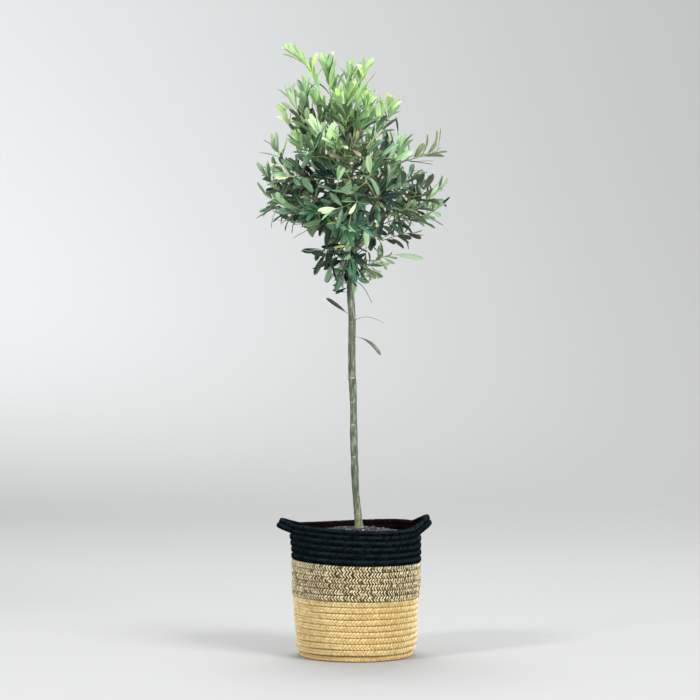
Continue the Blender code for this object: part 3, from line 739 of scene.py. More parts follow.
def bark_material(name, tones, moss=True):
    mat, nt, bsdf = principled(name, linear(*tones[1]), 0.85, 0.25)
    grain = noise_at(nt, 420.0, (1, 1, 0.15), 5.0, 0.62)
    col = ramp(nt, grain, [(0.34, linear(*tones[0])), (0.5, linear(*tones[1])), (0.66, linear(*tones[2]))])
    patch = noise_at(nt, 60.0, (1, 1, 0.5), 3.0, 0.5)
    col = mixed(nt, ramp(nt, patch, [(0.42, (0, 0, 0, 1)), (0.62, (0.6, 0.6, 0.6, 1))]), col, linear(*tones[3]))
    if moss:
        where = nt.nodes.new("ShaderNodeTexCoord")
        split = nt.nodes.new("ShaderNodeSeparateXYZ")
        nt.links.new(where.outputs["Object"], split.inputs[0])
        m = node(nt, "ShaderNodeMapRange")
        m.inputs["From Min"].default_value = 0.200
        m.inputs["From Max"].default_value = 0.262
        m.inputs["To Min"].default_value = 0.62
        m.inputs["To Max"].default_value = 0.0
        nt.links.new(split.outputs["Z"], m.inputs["Value"])
        mottled = node(nt, "ShaderNodeMath", operation="MULTIPLY")
        nt.links.new(m.outputs[0], mottled.inputs[0])
        nt.links.new(ramp(nt, noise_at(nt, 240.0, (1, 1, 0.5), 4.0), [(0.38, (0, 0, 0, 1)), (0.58, (1, 1, 1, 1))]), mottled.inputs[1])
        col = mixed(nt, mottled.outputs[0], col, linear(140, 134, 76))
    nt.links.new(col, bsdf.inputs["Base Color"])
    bumped(nt, bsdf, noise_at(nt, 900.0, (1, 1, 0.3), 4.0, 0.6), 0.5, 0.0005)
    return mat


def barked(points, radii, sides, relief, seed, marks=()):
    """A limb's skin with ridges along it and raised marks.
    Returns verts, faces and a slot for each quad (1 on a mark)."""
    rng = np.random.default_rng(seed)
    rings, around, t = tube_rings(points, radii, sides)
    run = np.concatenate([[0], np.cumsum(np.linalg.norm(np.diff(points, axis=0), axis=1))])
    n = len(points)
    q = around * 0.006
    ridge_at = np.stack([q[..., 0] * 1.0, q[..., 1] * 1.0, np.broadcast_to(run[:, None], q.shape[:2]) * 0.16], -1)
    ridges = smooth_noise(ridge_at, waves(rng, 16, 500, 1500))
    broad = smooth_noise(rings, waves(rng, 10, 60, 240))
    height = relief * (0.55 * ridges + 0.8 * broad)
    marked = np.zeros((n, sides))
    az = np.arctan2(around[..., 1], around[..., 0])
    z = rings[..., 2]
    for mark_z, mark_az, half, tall, high, tilt in marks:
        off = (az - mark_az + math.pi) % (2 * math.pi) - math.pi
        dz = z - mark_z - tilt * off - 0.0009 * (off / half) ** 2
        bump = np.exp(-((dz / tall) ** 2)) * np.exp(-((off / half) ** 4))
        height = height + high * bump
        marked = np.maximum(marked, bump)
    rings = rings + around * height[..., None]
    verts = np.concatenate([rings.reshape(-1, 3), points[:1], (points[-1] + t[-1] * radii[-1] * 0.5)[None]])
    quads = tube_faces(n, sides)
    j = np.arange(sides)
    k = (j + 1) % sides
    root = np.stack([np.full(sides, n * sides), k, j], 1)
    end = np.stack([np.full(sides, n * sides + 1), (n - 1) * sides + j, (n - 1) * sides + k], 1)
    flag = (marked.reshape(-1)[quads].mean(1) > 0.5).astype(int)
    return verts, [quads, np.concatenate([root, end])], [flag, np.zeros(2 * sides, int)]


def at_pixel(px, py, y):
    """The point at depth y that shows at a pixel of the 700 x 700 frame."""
    d = (y + 4.37) / 2700.0
    return np.array([(px - 356.0) * d, y, 0.60 - (py - 285.0) * d])


def build_limbs():
    front = -math.pi / 2
    bark = bark_material("olive_bark", [(48, 55, 43), (92, 101, 86), (136, 144, 128), (76, 86, 68)])
    scar, nt, bsdf = principled("bark_scar", linear(158, 162, 142), 0.85, 0.25)
    nt.links.new(ramp(nt, noise_at(nt, 900.0), [(0.40, linear(116, 122, 102)), (0.60, linear(182, 186, 166))]), bsdf.inputs["Base Color"])
    rows = limb_rows("trunk")
    rows = resampled(rows, 0.00085)
    rows[:, 3] *= 1 + 0.02 * np.sin(rows[:, 2] * 90) + 0.015 * np.sin(rows[:, 2] * 230 + 1)
    rng = np.random.default_rng(23)
    marks = []
    # old leaf scars, as they show on the front
    for py, az, half, tall, high in (
        (514, -72, 30, 0.6, 0.25), (476, -104, 22, 0.5, 0.25), (457, -95, 36, 0.7, 0.40), (432, -66, 22, 0.6, 0.35),
        (425, -96, 44, 0.8, 0.50), (402, -112, 18, 0.9, 0.30), (400, -70, 18, 0.9, 0.30), (378, -88, 52, 0.8, 0.60),
        (352, -76, 24, 0.5, 0.25), (322, -98, 34, 0.8, 0.35), (302, -80, 24, 0.6, 0.30),
    ):
        marks.append((0.60 - (py - 285) * 0.0016185, math.radians(az), math.radians(half), tall * 0.001, high * 0.001, 0.0003))
    # the same all round, opposite pairs turned a quarter each time
    z, turn = 0.236, 0.6
    while z < 0.64:
        for side in (0, math.pi):
            az = turn + side + rng.uniform(-0.3, 0.3)
            if math.cos(az - front) < 0.45:
                marks.append((z + rng.uniform(-0.002, 0.002), az, math.radians(rng.uniform(18, 40)), rng.uniform(0.5, 0.9) * 0.001, rng.uniform(0.25, 0.5) * 0.001, rng.uniform(-0.0005, 0.0005)))
        z += rng.uniform(0.020, 0.044)
        turn += math.pi / 2
    # two stubs of old side shoots
    marks.append((at_pixel(0, 378, 0)[2], math.radians(-168), math.radians(30), 0.0026, 0.0016, 0.0))
    marks.append((at_pixel(0, 318, 0)[2], math.radians(-14), math.radians(34), 0.0030, 0.0020, 0.0))
    v, f, s = barked(rows[:, :3], rows[:, 3], 56, 0.00018, 4, marks)
    low = rows[0][2]
    v[:, 2] = np.maximum(v[:, 2], low)
    heap = Heap()
    heap.add(v, f, s)
    trunk = heap.build("trunk_bark", [bark, scar], sharp=70)
    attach(trunk, "root")
    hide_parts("trunk")
    heap = Heap()
    upper = bark_material("bough_bark", [(84, 88, 62), (120, 126, 92), (148, 150, 120), (104, 116, 82)], moss=False)
    for n, name in enumerate(BOUGHS):
        rows = resampled(limb_rows(name), 0.0016)
        wob = waves(np.random.default_rng(40 + n), 4, 30, 90)
        ease = np.sin(np.linspace(0, math.pi, len(rows)))
        rows[:, 0] += 0.0012 * ease * smooth_noise(rows[:, :3], wob)
        rows[:, 3] += 0.0010 * np.exp(-np.linspace(0, 9, len(rows))) * (name != "bough_leader")
        knots = [(p, rng.uniform(-3, 3), 0.7, 0.0010, 0.0004, 0.0) for p in rng.uniform(rows[:, 2].min() + 0.01, rows[:, 2].max(), 5)]
        v, f, s = barked(rows[:, :3], rows[:, 3], 20, 0.00010, 60 + n, knots)
        heap.add(v, f, s)
    boughs = heap.build("boughs_bark", [upper, scar], sharp=70)
    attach(boughs, "root")
    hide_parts(*BOUGHS)
    return trunk, boughs


# ------------------------------------------------------------ stage, light, camera
def build_stage():
    """A pale seamless dish: a floor that turns up into a wall all round."""
    floor_r, wall_radius, top = 3.2, 7.6, 2.7
    prof = [(r, 0.0) for r in np.linspace(0.4, floor_r, 8)]
    for a in np.linspace(0, math.pi / 2 * 0.94, 26)[1:]:
        prof.append((floor_r + (wall_radius - floor_r) * math.sin(a), top * (1 - math.cos(a))))
    prof = np.array(prof)
    sides = 128
    ang = np.linspace(0, 2 * math.pi, sides, endpoint=False)
    P = np.stack([prof[:, 0, None] * np.cos(ang), prof[:, 0, None] * np.sin(ang), np.broadcast_to(prof[:, 1, None], (len(prof), sides))], -1)
    verts = np.concatenate([P.reshape(-1, 3), [[0, 0, 0]]])
    quads = tube_faces(len(prof), sides)
    j = np.arange(sides)
    k = (j + 1) % sides
    mid = np.stack([np.full(sides, len(prof) * sides), j, k], 1)
    mat, nt, bsdf = principled("studio_paper", linear(*PAPER), 0.95, 0.1)
    heap = Heap()
    heap.add(verts, [quads[:, ::-1], mid], 0)
    floor = heap.build("studio_floor", [mat])
    floor.location.z = -0.0004
    return floor


def area_light(name, where, aim, size, power, colour=(1, 1, 1)):
    data = bpy.data.lights.new(name, "AREA")
    data.shape = "RECTANGLE"
    data.size, data.size_y = size
    data.energy = power
    data.color = colour
    ob = bpy.data.objects.new(name, data)
    bpy.context.scene.collection.objects.link(ob)
    ob.location = where
    ob.rotation_euler = (Vector(aim) - Vector(where)).to_track_quat("-Z", "Y").to_euler()
    return ob


def build_lights():
    world = bpy.data.worlds.new("studio_air")
    bpy.context.scene.world = world
    world.use_nodes = True
    bg = world.node_tree.nodes["Background"]
    bg.inputs["Color"].default_value = (*AIR, 1.0)
    bg.inputs["Strength"].default_value = WORLD
    for name, where, aim, size, power, colour in LIGHTS:
        area_light(name, where, aim, size, power, colour)
    view = bpy.context.scene.view_settings
    view.view_transform = "Standard"
    view.look = "None"
    view.exposure = 0.0
    view.gamma = 1.0


def build_camera():
    data = bpy.data.cameras.new("camera")
    data.lens = 2700.0 / 700.0 * 36.0
    data.sensor_width = 36.0
    data.clip_start, data.clip_end = 0.05, 60.0
    cam = bpy.data.objects.new("camera", data)
    bpy.context.scene.collection.objects.link(cam)
    forward = Vector((-6.0 / 2700.0, 1.0, -65.0 / 2700.0)).normalized()
    right = forward.cross(Vector((0, 0, 1))).normalized()
    up = right.cross(forward)
    cam.matrix_world = Matrix.Translation((0.0, -4.37, 0.60)) @ Matrix((right, up, -forward)).transposed().to_4x4()
    bpy.context.scene.camera = cam
    return cam


PAPER = (160, 161, 161)
AIR = (1.0, 1.0, 1.0)
WORLD = 0.64
LIGHTS = (
    ("key", (-2.7, -2.5, 2.6), (0, 0, 0.25), (0.6, 0.6), 118.0, (1.0, 0.99, 0.97)),
    ("fill", (3.9, -4.0, 3.6), (0, 0, 0.45), (2.6, 2.6), 490.0, (1.0, 1.0, 0.99)),
    ("top", (-0.2, 0.8, 4.2), (0, 0, 0.6), (1.4, 1.4), 120.0, (1.0, 1.0, 1.0)),
    ("wall_wash", (-1.7, 4.2, 3.0), (-0.7, 7.5, 1.5), (1.2, 1.2), 146.0, (0.97, 0.99, 1.0)),
    ("floor_wash", (0.4, 2.6, 3.9), (0.2, 3.0, 0.0), (2.4, 1.4), 42.0, (1.0, 1.0, 1.0)),
)

build_camera()
build_stage()
build_lights()
build_basket()
build_soil()
build_limbs()


# ------------------------------------------------------------ crown: twigs
class Skeleton:
    """Points of the limbs and twigs, each with the one before it."""

    def __init__(self):
        self.p, self.back, self.d, self.run = [], [], [], []

    def add(self, p, back):
        i = len(self.p)
        p = np.asarray(p, float)
        if back is None:
            self.d.append(np.array([0, 0, 1.0]))
            self.run.append(0.0)
        else:
            step = p - self.p[back]
            self.d.append(unit(step))
            self.run.append(self.run[back] + float(np.linalg.norm(step)))
        self.p.append(p)
        self.back.append(back)
        return i

    def add_line(self, points, back):
        out = []
        for p in points:
            back = self.add(p, back)
            out.append(back)
        return out

    def seat(self, to, first_dir):
        """The best point to branch from towards a twig's root."""
        P, D = np.array(self.p), np.array(self.d)
        run = np.array(self.run)
        v = to - P
        dist = np.linalg.norm(v, axis=1)
        n = v / np.maximum(dist, 1e-6)[:, None]
        along = (n * D).sum(1)
        cost = dist * (1.35 - 0.35 * along) + 0.10 * run
        cost += 0.5 * np.maximum(0, P[:, 2] - to[2] - 0.004) * (1.0 if first_dir[2] > -0.1 else 0.25)
        cost += np.where(along < -0.35, 0.03, 0.0)
        return int(np.argmin(cost))


def hermite(a, ta, b, tb, n):
    t = np.linspace(0, 1, n)[:, None]
    return (2 * t**3 - 3 * t**2 + 1) * a + (t**3 - 2 * t**2 + t) * ta + (-2 * t**3 + 3 * t**2) * b + (t**3 - t**2) * tb


def crown_normal(p):
    """Out of the crown at a point."""
    c = np.array([-0.010, 0.0, 0.775])
    v = (p - c) / np.array([0.135, 0.130, 0.150])
    return unit(v / np.array([0.135, 0.130, 0.150]))


def depth_in_crown(p):
    """0 at the middle, 1 at the skin of the masses, above 1 outside."""
    best = np.full(len(p), 9.0)
    for (centre, radii, turn) in MASSES.values():
        a = math.radians(turn)
        q = p - np.array(centre)
        x = q[:, 0] * math.cos(a) - q[:, 2] * math.sin(a)
        z = q[:, 0] * math.sin(a) + q[:, 2] * math.cos(a)
        d = np.sqrt((x / radii[0]) ** 2 + (q[:, 1] / radii[1]) ** 2 + (z / radii[2]) ** 2)
        best = np.minimum(best, d)
    return best


# Shoots that give the head its own outline, as (tone, depth at the root, depth at
# the tip, points (pixel, pixel) from root to tip, size of its leaves).
LEADS = (
    # the top
    ("lime", 0.00, -0.01, ((331, 128), (322, 104), (314, 76), (303, 63), (291, 53)), 0.74, 0.5),
    ("fresh", 0.01, 0.00, ((333, 122), (331, 100), (329, 82), (328, 67)), 0.86, 1.6),
    ("spring", 0.01, 0.01, ((343, 116), (347, 98), (350.5, 76)), 0.86, 2.6),
    ("lime", -0.01, -0.02, ((352, 118), (358, 98), (364, 76)), 0.88, 2.6),
    ("lime", -0.03, -0.04, ((343, 124), (346, 106), (352, 92)), 0.80, 1.0),
    ("bare", 0.00, 0.00, ((356, 104), (364, 88), (376, 72.5)), 0.5, 0.6),
    ("spring", -0.02, -0.03, ((324, 132), (318, 114), (317, 100)), 0.84, 1.0),
    ("fresh", 0.00, -0.01, ((318, 124), (309, 110), (305, 98), (304.5, 90)), 0.80, 2.0),
    ("lime", -0.02, -0.03, ((374, 136), (382, 118), (386, 106)), 0.84, 1.2),
    ("spring", 0.00, 0.00, ((380, 134), (389, 118), (393, 106)), 0.72, 1.2),
    ("lime", 0.02, 0.03, ((362, 120), (367, 108), (368, 98)), 0.72, 1.0),
    ("fresh", 0.03, 0.04, ((340, 112), (338, 98), (335, 84)), 0.84, 1.4),
    # the upper left
    ("sage", -0.02, -0.03, ((316, 150), (303, 124), (295, 107), (291, 97)), 0.80, 1.2),
    ("lime", 0.00, 0.00, ((308, 146), (294, 130), (286, 118), (282, 110)), 0.56, 0.6),
    ("olive", -0.03, -0.04, ((318, 154), (311, 138), (308, 126)), 0.86, 2.4),
    ("spring", -0.03, -0.05, ((314, 160), (303, 150), (297, 140)), 0.72, 1.2),
    ("sage", 0.01, 0.01, ((304, 180), (289, 168), (279, 154), (275, 146)), 0.76, 1.2),
    # the left
    ("sage", -0.01, -0.02, ((314, 198), (292, 197), (276, 189), (268, 178)), 0.90, 2.0),
    ("mid", 0.00, 0.00, ((306, 206), (284, 204), (271, 199), (263, 193)), 0.80, 1.4),
    ("bronze", -0.03, -0.04, ((310, 190), (298, 180), (288, 176)), 0.80, 1.6),
    ("sage", 0.03, 0.04, ((300, 188), (284, 180), (274, 173)), 0.78, 1.6),
    ("deep", -0.02, -0.03, ((322, 208), (308, 212), (296, 214), (287, 214)), 0.80, 2.0),
    ("deep", 0.02, 0.02, ((318, 208), (300, 212), (284, 208), (273, 208)), 0.78, 1.6),
    # the lower left and the foot of the head
    ("teal", -0.02, -0.04, ((344, 256), (334, 254), (325, 251), (318, 249)), 0.84, 2.0),
    ("dark", -0.02, -0.03, ((347, 262), (338, 257), (333, 259), (331, 264)), 0.86, 2.0),
    ("deep", -0.03, -0.04, ((350, 258), (347, 250), (345, 240)), 0.86, 2.0),
    ("teal", -0.01, -0.02, ((351, 276), (346, 272), (343, 275)), 0.66, 1.8),
    # the right
    ("olive", -0.01, -0.02, ((378, 178), (396, 165), (416, 158), (433, 153), (441, 147)), 0.84, 1.6),
    ("mid", -0.03, -0.04, ((384, 178), (394, 162), (400, 150)), 0.84, 2.2),
    ("mid", -0.03, -0.05, ((376, 204), (392, 192), (404, 184), (411, 179)), 0.90, 2.0),
    ("sage", 0.01, 0.01, ((378, 226), (398, 218), (418, 207), (431, 197), (438, 191)), 0.86, 1.4),
    ("olive", -0.02, -0.03, ((392, 214), (408, 208), (418, 198), (423, 190)), 0.84, 2.0),
    ("mid", -0.02, -0.02, ((396, 222), (414, 219), (427, 215), (435, 210)), 0.74, 1.4),
    ("bronze", 0.00, 0.00, ((384, 240), (396, 236), (404, 234), (411, 233)), 0.70, 1.4),
    ("sage", -0.03, -0.04, ((376, 212), (381, 198), (384, 186)), 0.98, 2.4),
    ("sage", -0.02, -0.03, ((398, 216), (412, 211), (423, 204), (429, 197)), 0.88, 1.6),
    ("mid", 0.01, 0.02, ((400, 206), (412, 197), (418, 188)), 0.86, 2.2),
    # the lower right
    ("sage", -0.01, -0.01, ((353, 280), (365, 269), (376, 260), (386, 256)), 0.70, 1.4),
    ("bronze", -0.01, -0.02, ((364, 270), (368, 268.5), (372, 271)), 0.54, 1.6),
    # leaves hanging about the trunk's top
    ("deep", -0.02, -0.06, ((352, 236), (350, 247), (350, 258)), 0.86, 2.2),
    ("teal", -0.01, -0.04, ((354, 250), (356, 261), (357, 268)), 0.70, 2.0),
    ("dark", -0.02, -0.045, ((349, 262), (345, 268), (343, 272)), 0.78, 2.2),
    ("deep", 0.02, 0.045, ((355, 254), (362, 262), (366, 266)), 0.72, 2.0),
    ("teal", 0.02, 0.05, ((349, 256), (342, 264), (338, 268)), 0.74, 2.0),
    # sprays facing the front
    ("deep", -0.09, -0.120, ((352, 210), (350, 220), (348, 230)), 0.92, 2.2),
    ("mid", -0.09, -0.125, ((336, 206), (336, 194), (338, 182)), 0.92, 2.2),
    ("teal", -0.07, -0.10, ((348, 226), (355, 226), (362, 225)), 0.84, 2.0),
)
# Leaf-free ovals where the head is open to the sky: pixel centre, half sizes, turn
GAPS = ((320, 239, 8.5, 7.5, 0), (313, 99, 4.5, 11, 0), (398, 131, 3.0, 6, 0), (423, 196, 6.0, 12, 20), (396, 238, 5, 6, 0),
        (329, 152, 4.5, 4, 0), (372, 155, 3.5, 3, 0), (300, 205, 3, 3, 0), (414, 243, 8, 6, 0), (288, 152, 3.5, 5, 0))


# How far the leaves of the fill reach to each side, by height, in pixels
REACH = (
    (66, 326, 334), (74, 314, 350), (84, 305, 366), (94, 298, 384), (106, 295, 390), (116, 291, 391), (126, 291, 398),
    (136, 288, 403), (146, 283, 409), (156, 281, 407), (164, 276, 403), (172, 271, 407), (180, 268, 419), (190, 264, 436),
    (200, 263, 438), (208, 269, 432), (216, 279, 424), (222, 288, 415), (228, 300, 409), (236, 308, 405), (244, 313, 399),
    (252, 316, 389), (260, 320, 377), (270, 325, 370), (280, 333, 361), (288, 338, 358),
)


def outside(p):
    """True where a point, seen from the front, lies outside the head's outline."""
    px, py = pixel_of(p)
    y, left, right = np.array(REACH, float).T
    return (px < np.interp(py, y, left)) | (px > np.interp(py, y, right)) | (py < 64) | (py > 290)


def pixel_of(p):
    d = 2700.0 / (p[..., 1] + 4.37)
    return 356.0 + p[..., 0] * d, 285.0 + (0.60 - p[..., 2]) * d


def in_gap(p):
    px, py = pixel_of(p)
    out = np.zeros(px.shape, bool)
    for cx, cy, rx, ry, turn in GAPS:
        a = math.radians(turn)
        x = (px - cx) * math.cos(a) + (py - cy) * math.sin(a)
        y = -(px - cx) * math.sin(a) + (py - cy) * math.cos(a)
        out |= (x / rx) ** 2 + (y / ry) ** 2 < 1
    return out


def tone_at(p, rng):
    """The tone of a spray by its height: young and yellow-green on top, sage in the
    middle, dark and bluish below.  Shoots deep inside get painted shade where they are made."""
    z, out = p[2], float(depth_in_crown(p[None])[0])
    up = z + rng.normal(0, 0.020)
    if up > 0.900:
        return rng.choice(("lime", "spring", "fresh"), p=(0.30, 0.42, 0.28))
    if up > 0.855:
        return rng.choice(("spring", "fresh", "sage", "mid"), p=(0.28, 0.28, 0.28, 0.16))
    if up > 0.800:
        return rng.choice(("spring", "fresh", "sage", "mid", "olive", "bronze"), p=(0.08, 0.14, 0.34, 0.26, 0.12, 0.06))
    if up > 0.745:
        return rng.choice(("sage", "mid", "olive", "deep", "bronze"), p=(0.33, 0.34, 0.11, 0.14, 0.08))
    if up > 0.700:
        return rng.choice(("sage", "mid", "deep", "teal", "olive"), p=(0.33, 0.30, 0.16, 0.13, 0.08))
    return rng.choice(("mid", "deep", "teal", "dark", "sage"), p=(0.19, 0.26, 0.29, 0.10, 0.16))


def wanted_shoots(rng):
    """Every leafy shoot: its line from root to tip, its tone and leaf size."""
    shoots = []
    for tone, y0, y1, pts, size, head in LEADS:
        k = len(pts)
        line = np.array([at_pixel(px, py, y0 + (y1 - y0) * i / (k - 1)) for i, (px, py) in enumerate(pts)])
        if k < 3:
            line = np.array([line[0], (line[0] + line[1]) / 2, line[1]])
        line = through(line, np.linspace(0, len(line) - 1, 24))
        shoots.append({"line": resampled(line, 0.004), "tone": tone, "size": size, "lead": True, "head": head})
    tips = [s["line"][-1] for s in shoots]
    names = list(MASSES)
    area = np.array([MASSES[n][1][0] * MASSES[n][1][1] + MASSES[n][1][1] * MASSES[n][1][2] for n in names])
    area = area / area.sum()
    made, tries = 0, 0
    while made < FILL_SHOOTS and tries < 12000:
        tries += 1
        centre, radii, turn = MASSES[names[rng.choice(len(names), p=area)]]
        d = unit(rng.normal(size=3))
        reach = rng.uniform(0.86, 1.06) if rng.random() < 0.74 else rng.uniform(0.35, 0.8)
        q = d * np.array(radii) * reach
        a = math.radians(turn)
        p = np.array(centre) + np.array([q[0] * math.cos(a) + q[2] * math.sin(a), q[1], -q[0] * math.sin(a) + q[2] * math.cos(a)])
        inner = float(depth_in_crown(p[None])[0])
        if reach > 0.82 and inner < 0.80:
            continue
        gap = 0.019 if inner > 0.85 else 0.024
        near = np.linalg.norm(np.array(tips) - p, axis=1).min()
        if near < gap:
            continue
        n = crown_normal(p)
        # young growth turns up at the top, out in the middle and hangs at the foot
        rise = np.interp(p[2], (0.64, 0.70, 0.76, 0.84, 0.92), (-0.75, -0.25, 0.25, 0.7, 1.3))
        flow = unit(n * np.array([1, 1, 0.6]) + np.array([0, 0, rise]) + rng.normal(0, 0.28, 3))
        length = rng.uniform(0.050, 0.088) * (1.0 if inner > 0.8 else 0.75)
        bend = np.interp(p[2], (0.66, 0.74, 0.85), (-0.35, 0.25, 0.45)) + rng.normal(0, 0.12)
        t = np.linspace(0, 1, 14)[:, None]
        sideways = unit(np.cross(flow, rng.normal(size=3)))
        low_dir = unit(flow - np.array([0, 0, bend]) + 0.15 * sideways)
        line = hermite(p - flow * length * 0.55 - low_dir * length * 0.45, low_dir * length, p, flow * length, 14)
        # painted shade: shoots deep inside the crown take dark, deep, teal or mid tones
        tone = tone_at(p, rng) if inner > 0.72 else str(rng.choice(("dark", "deep", "teal", "mid"), p=(0.42, 0.30, 0.14, 0.14)))
        shoots.append({"line": resampled(line, 0.004), "tone": tone, "size": rng.uniform(0.80, 1.04), "lead": False, "head": rng.uniform(0.5, 2.4)})
        tips.append(p)
        made += 1
    return shoots


def grow_twigs(rng):
    sk = Skeleton()
    for name in ("trunk", *BOUGHS):
        rows = resampled(limb_rows(name), 0.006)
        if name == "trunk":
            rows = rows[rows[:, 2] > 0.618]
        if name == "trunk":
            back = None
        else:
            P = np.array(sk.p)
            back = int(np.argmin(np.linalg.norm(P - rows[0][:3], axis=1)))
        sk.add_line(rows[:, :3], back)
    shoots = wanted_shoots(rng)
    fork = np.array([-0.009, 0.0, 0.66])
    # nearer the limbs first, so that later twigs branch from earlier ones
    P = np.array(sk.p)
    order = sorted(range(len(shoots)), key=lambda i: float(np.linalg.norm(P - shoots[i]["line"][0], axis=1).min()) + 0.15 * float(np.linalg.norm(shoots[i]["line"][0] - fork)))
    for i in order:
        s = shoots[i]
        root = s["line"][0]
        first = unit(s["line"][1] - s["line"][0])
        j = sk.seat(root, first)
        a, v = sk.p[j], root - sk.p[j]
        dist = float(np.linalg.norm(v))
        chain = [j]
        if dist > 0.004:
            out = unit(0.45 * sk.d[j] + 0.75 * unit(v))
            path = hermite(a, out * dist * 0.9, root, first * dist * 0.9, max(3, int(dist / 0.005)))
            wob = rng.normal(0, 0.02 * min(dist, 0.06), 3)
            k = np.linspace(0, 1, len(path))[:, None]
            path = path + wob * np.sin(k * math.pi) + 0.5 * wob[::-1] * np.sin(2 * k * math.pi)
            chain += sk.add_line(path[1:], j)
            chain += sk.add_line(s["line"][1:], chain[-1])
        else:
            chain += sk.add_line(s["line"][1:], j)
        s["chain"] = chain
    # pipe rule: what a twig carries sets how thick it is
    n = len(sk.p)
    load = np.zeros(n)
    kids = [[] for _ in range(n)]
    for i in range(n):
        if sk.back[i] is not None:
            kids[sk.back[i]].append(i)
    for i in range(n - 1, -1, -1):
        if not kids[i]:
            load[i] = 1.0
        else:
            load[i] = sum(load[k] for k in kids[i]) + 0.035
    return sk, shoots, load


def twig_radius(load):
    return 0.00062 * np.maximum(load, 0.5) ** 0.40


# ------------------------------------------------------------ crown: leaves
LEAF_T = np.array([0.0, 0.10, 0.26, 0.46, 0.66, 0.82, 0.94])
TONES = {
    # upper side when young, when grown, and when old
    "lime": ((196, 222, 126), (170, 208, 114), (120, 164, 92)),
    "spring": ((182, 214, 128), (150, 192, 112), (96, 140, 84)),
    "fresh": ((164, 200, 122), (122, 170, 102), (70, 114, 68)),
    "sage": ((174, 202, 148), (166, 195, 150), (96, 128, 97)),
    "mid": ((158, 194, 132), (127, 169, 117), (52, 86, 58)),
    "olive": ((168, 178, 106), (118, 132, 82), (62, 76, 48)),
    "bronze": ((162, 154, 110), (118, 112, 82), (66, 66, 50)),
    "deep": ((110, 158, 104), (60, 107, 74), (16, 45, 31)),
    "dark": ((64, 104, 74), (14, 41, 31), (5, 20, 16)),
    "teal": ((108, 164, 138), (45, 99, 84), (12, 46, 40)),
    "yellow": ((184, 188, 92), (176, 178, 78), (160, 160, 70)),
    "lone": ((166, 184, 156), (150, 170, 144), (140, 158, 134)),
}
TONE_NAMES = list(TONES)
NEAR_TONE = {
    "lime": "spring", "spring": "fresh", "fresh": "spring", "sage": "mid", "mid": "sage", "olive": "mid", "bronze": "olive",
    "deep": "teal", "dark": "deep", "teal": "deep", "yellow": "olive", "lone": "sage",
}
AGES = 3


def leaf_materials():
    """Plain colours: one for each tone and age above, silvery ones below, and ribs; the ones below and the ribs come
    again darkened, as painted shade for leaves inside the crown.
    """
    mats = []
    for name in TONE_NAMES:
        for age, c in enumerate(TONES[name]):
            mat, nt, bsdf = principled(f"leaf_{name}_{age}", linear(*c), (0.50, 0.42, 0.40)[age], 0.42)
            mats.append(mat)
    under0 = len(mats)
    # painted shade: the second set of undersides is darkened for leaves inside the crown
    for where, share in (("", 1.0), ("_shaded_inner", 0.58)):
        for name in TONE_NAMES:
            g = np.array(TONES[name][1], float)
            pale = g * 0.42 + np.array((196, 222, 186)) * (0.56 if name in ("lime", "spring", "fresh") else 0.50)
            mat, nt, bsdf = principled(f"leaf_under_{name}{where}", linear(*((g * 0.8 + 20 if name == "yellow" else pale) * share)), 0.62, 0.3)
            mats.append(mat)
    rib0 = len(mats)
    # painted shade: the second set of ribs is darkened for leaves inside the crown
    for where, share in (("", 1.0), ("_shaded_inner", 0.6)):
        for name in TONE_NAMES:
            g = np.array(TONES[name][1], float)
            mat, nt, bsdf = principled(f"leaf_rib_{name}{where}", linear(*((g * 0.72 + np.array((206, 216, 160)) * 0.27) * share)), 0.5, 0.4)
            mats.append(mat)
    return mats, under0, rib0


def leaf_template():
    """Faces of one leaf: a stalk ring, the blade's rings of eight, and a tip."""
    rings = len(LEAF_T) + 1
    m = 8
    quads = tube_faces(rings, m)[:, ::-1]
    # columns: 0 edge, 1, 2 | rib | 3, 4, 5 edge, 6 and 7 below
    part = np.tile(np.array([0, 0, 2, 0, 0, 1, 2, 1]), rings - 1)
    stalk = np.repeat(np.arange(rings - 1) == 0, m)
    part = np.where(stalk, 2, part)
    tip = rings * m
    j = np.arange(m)
    k = (j + 1) % m
    tips = np.stack([np.full(m, tip), j + (rings - 1) * m, k + (rings - 1) * m], 1)[:, ::-1]
    root = np.stack([np.full(m, tip + 1), k, j], 1)[:, ::-1]
    return quads, np.concatenate([tips, root]), part, np.concatenate([np.array([0, 0, 2, 0, 0, 1, 2, 1]), np.full(m, 2)])


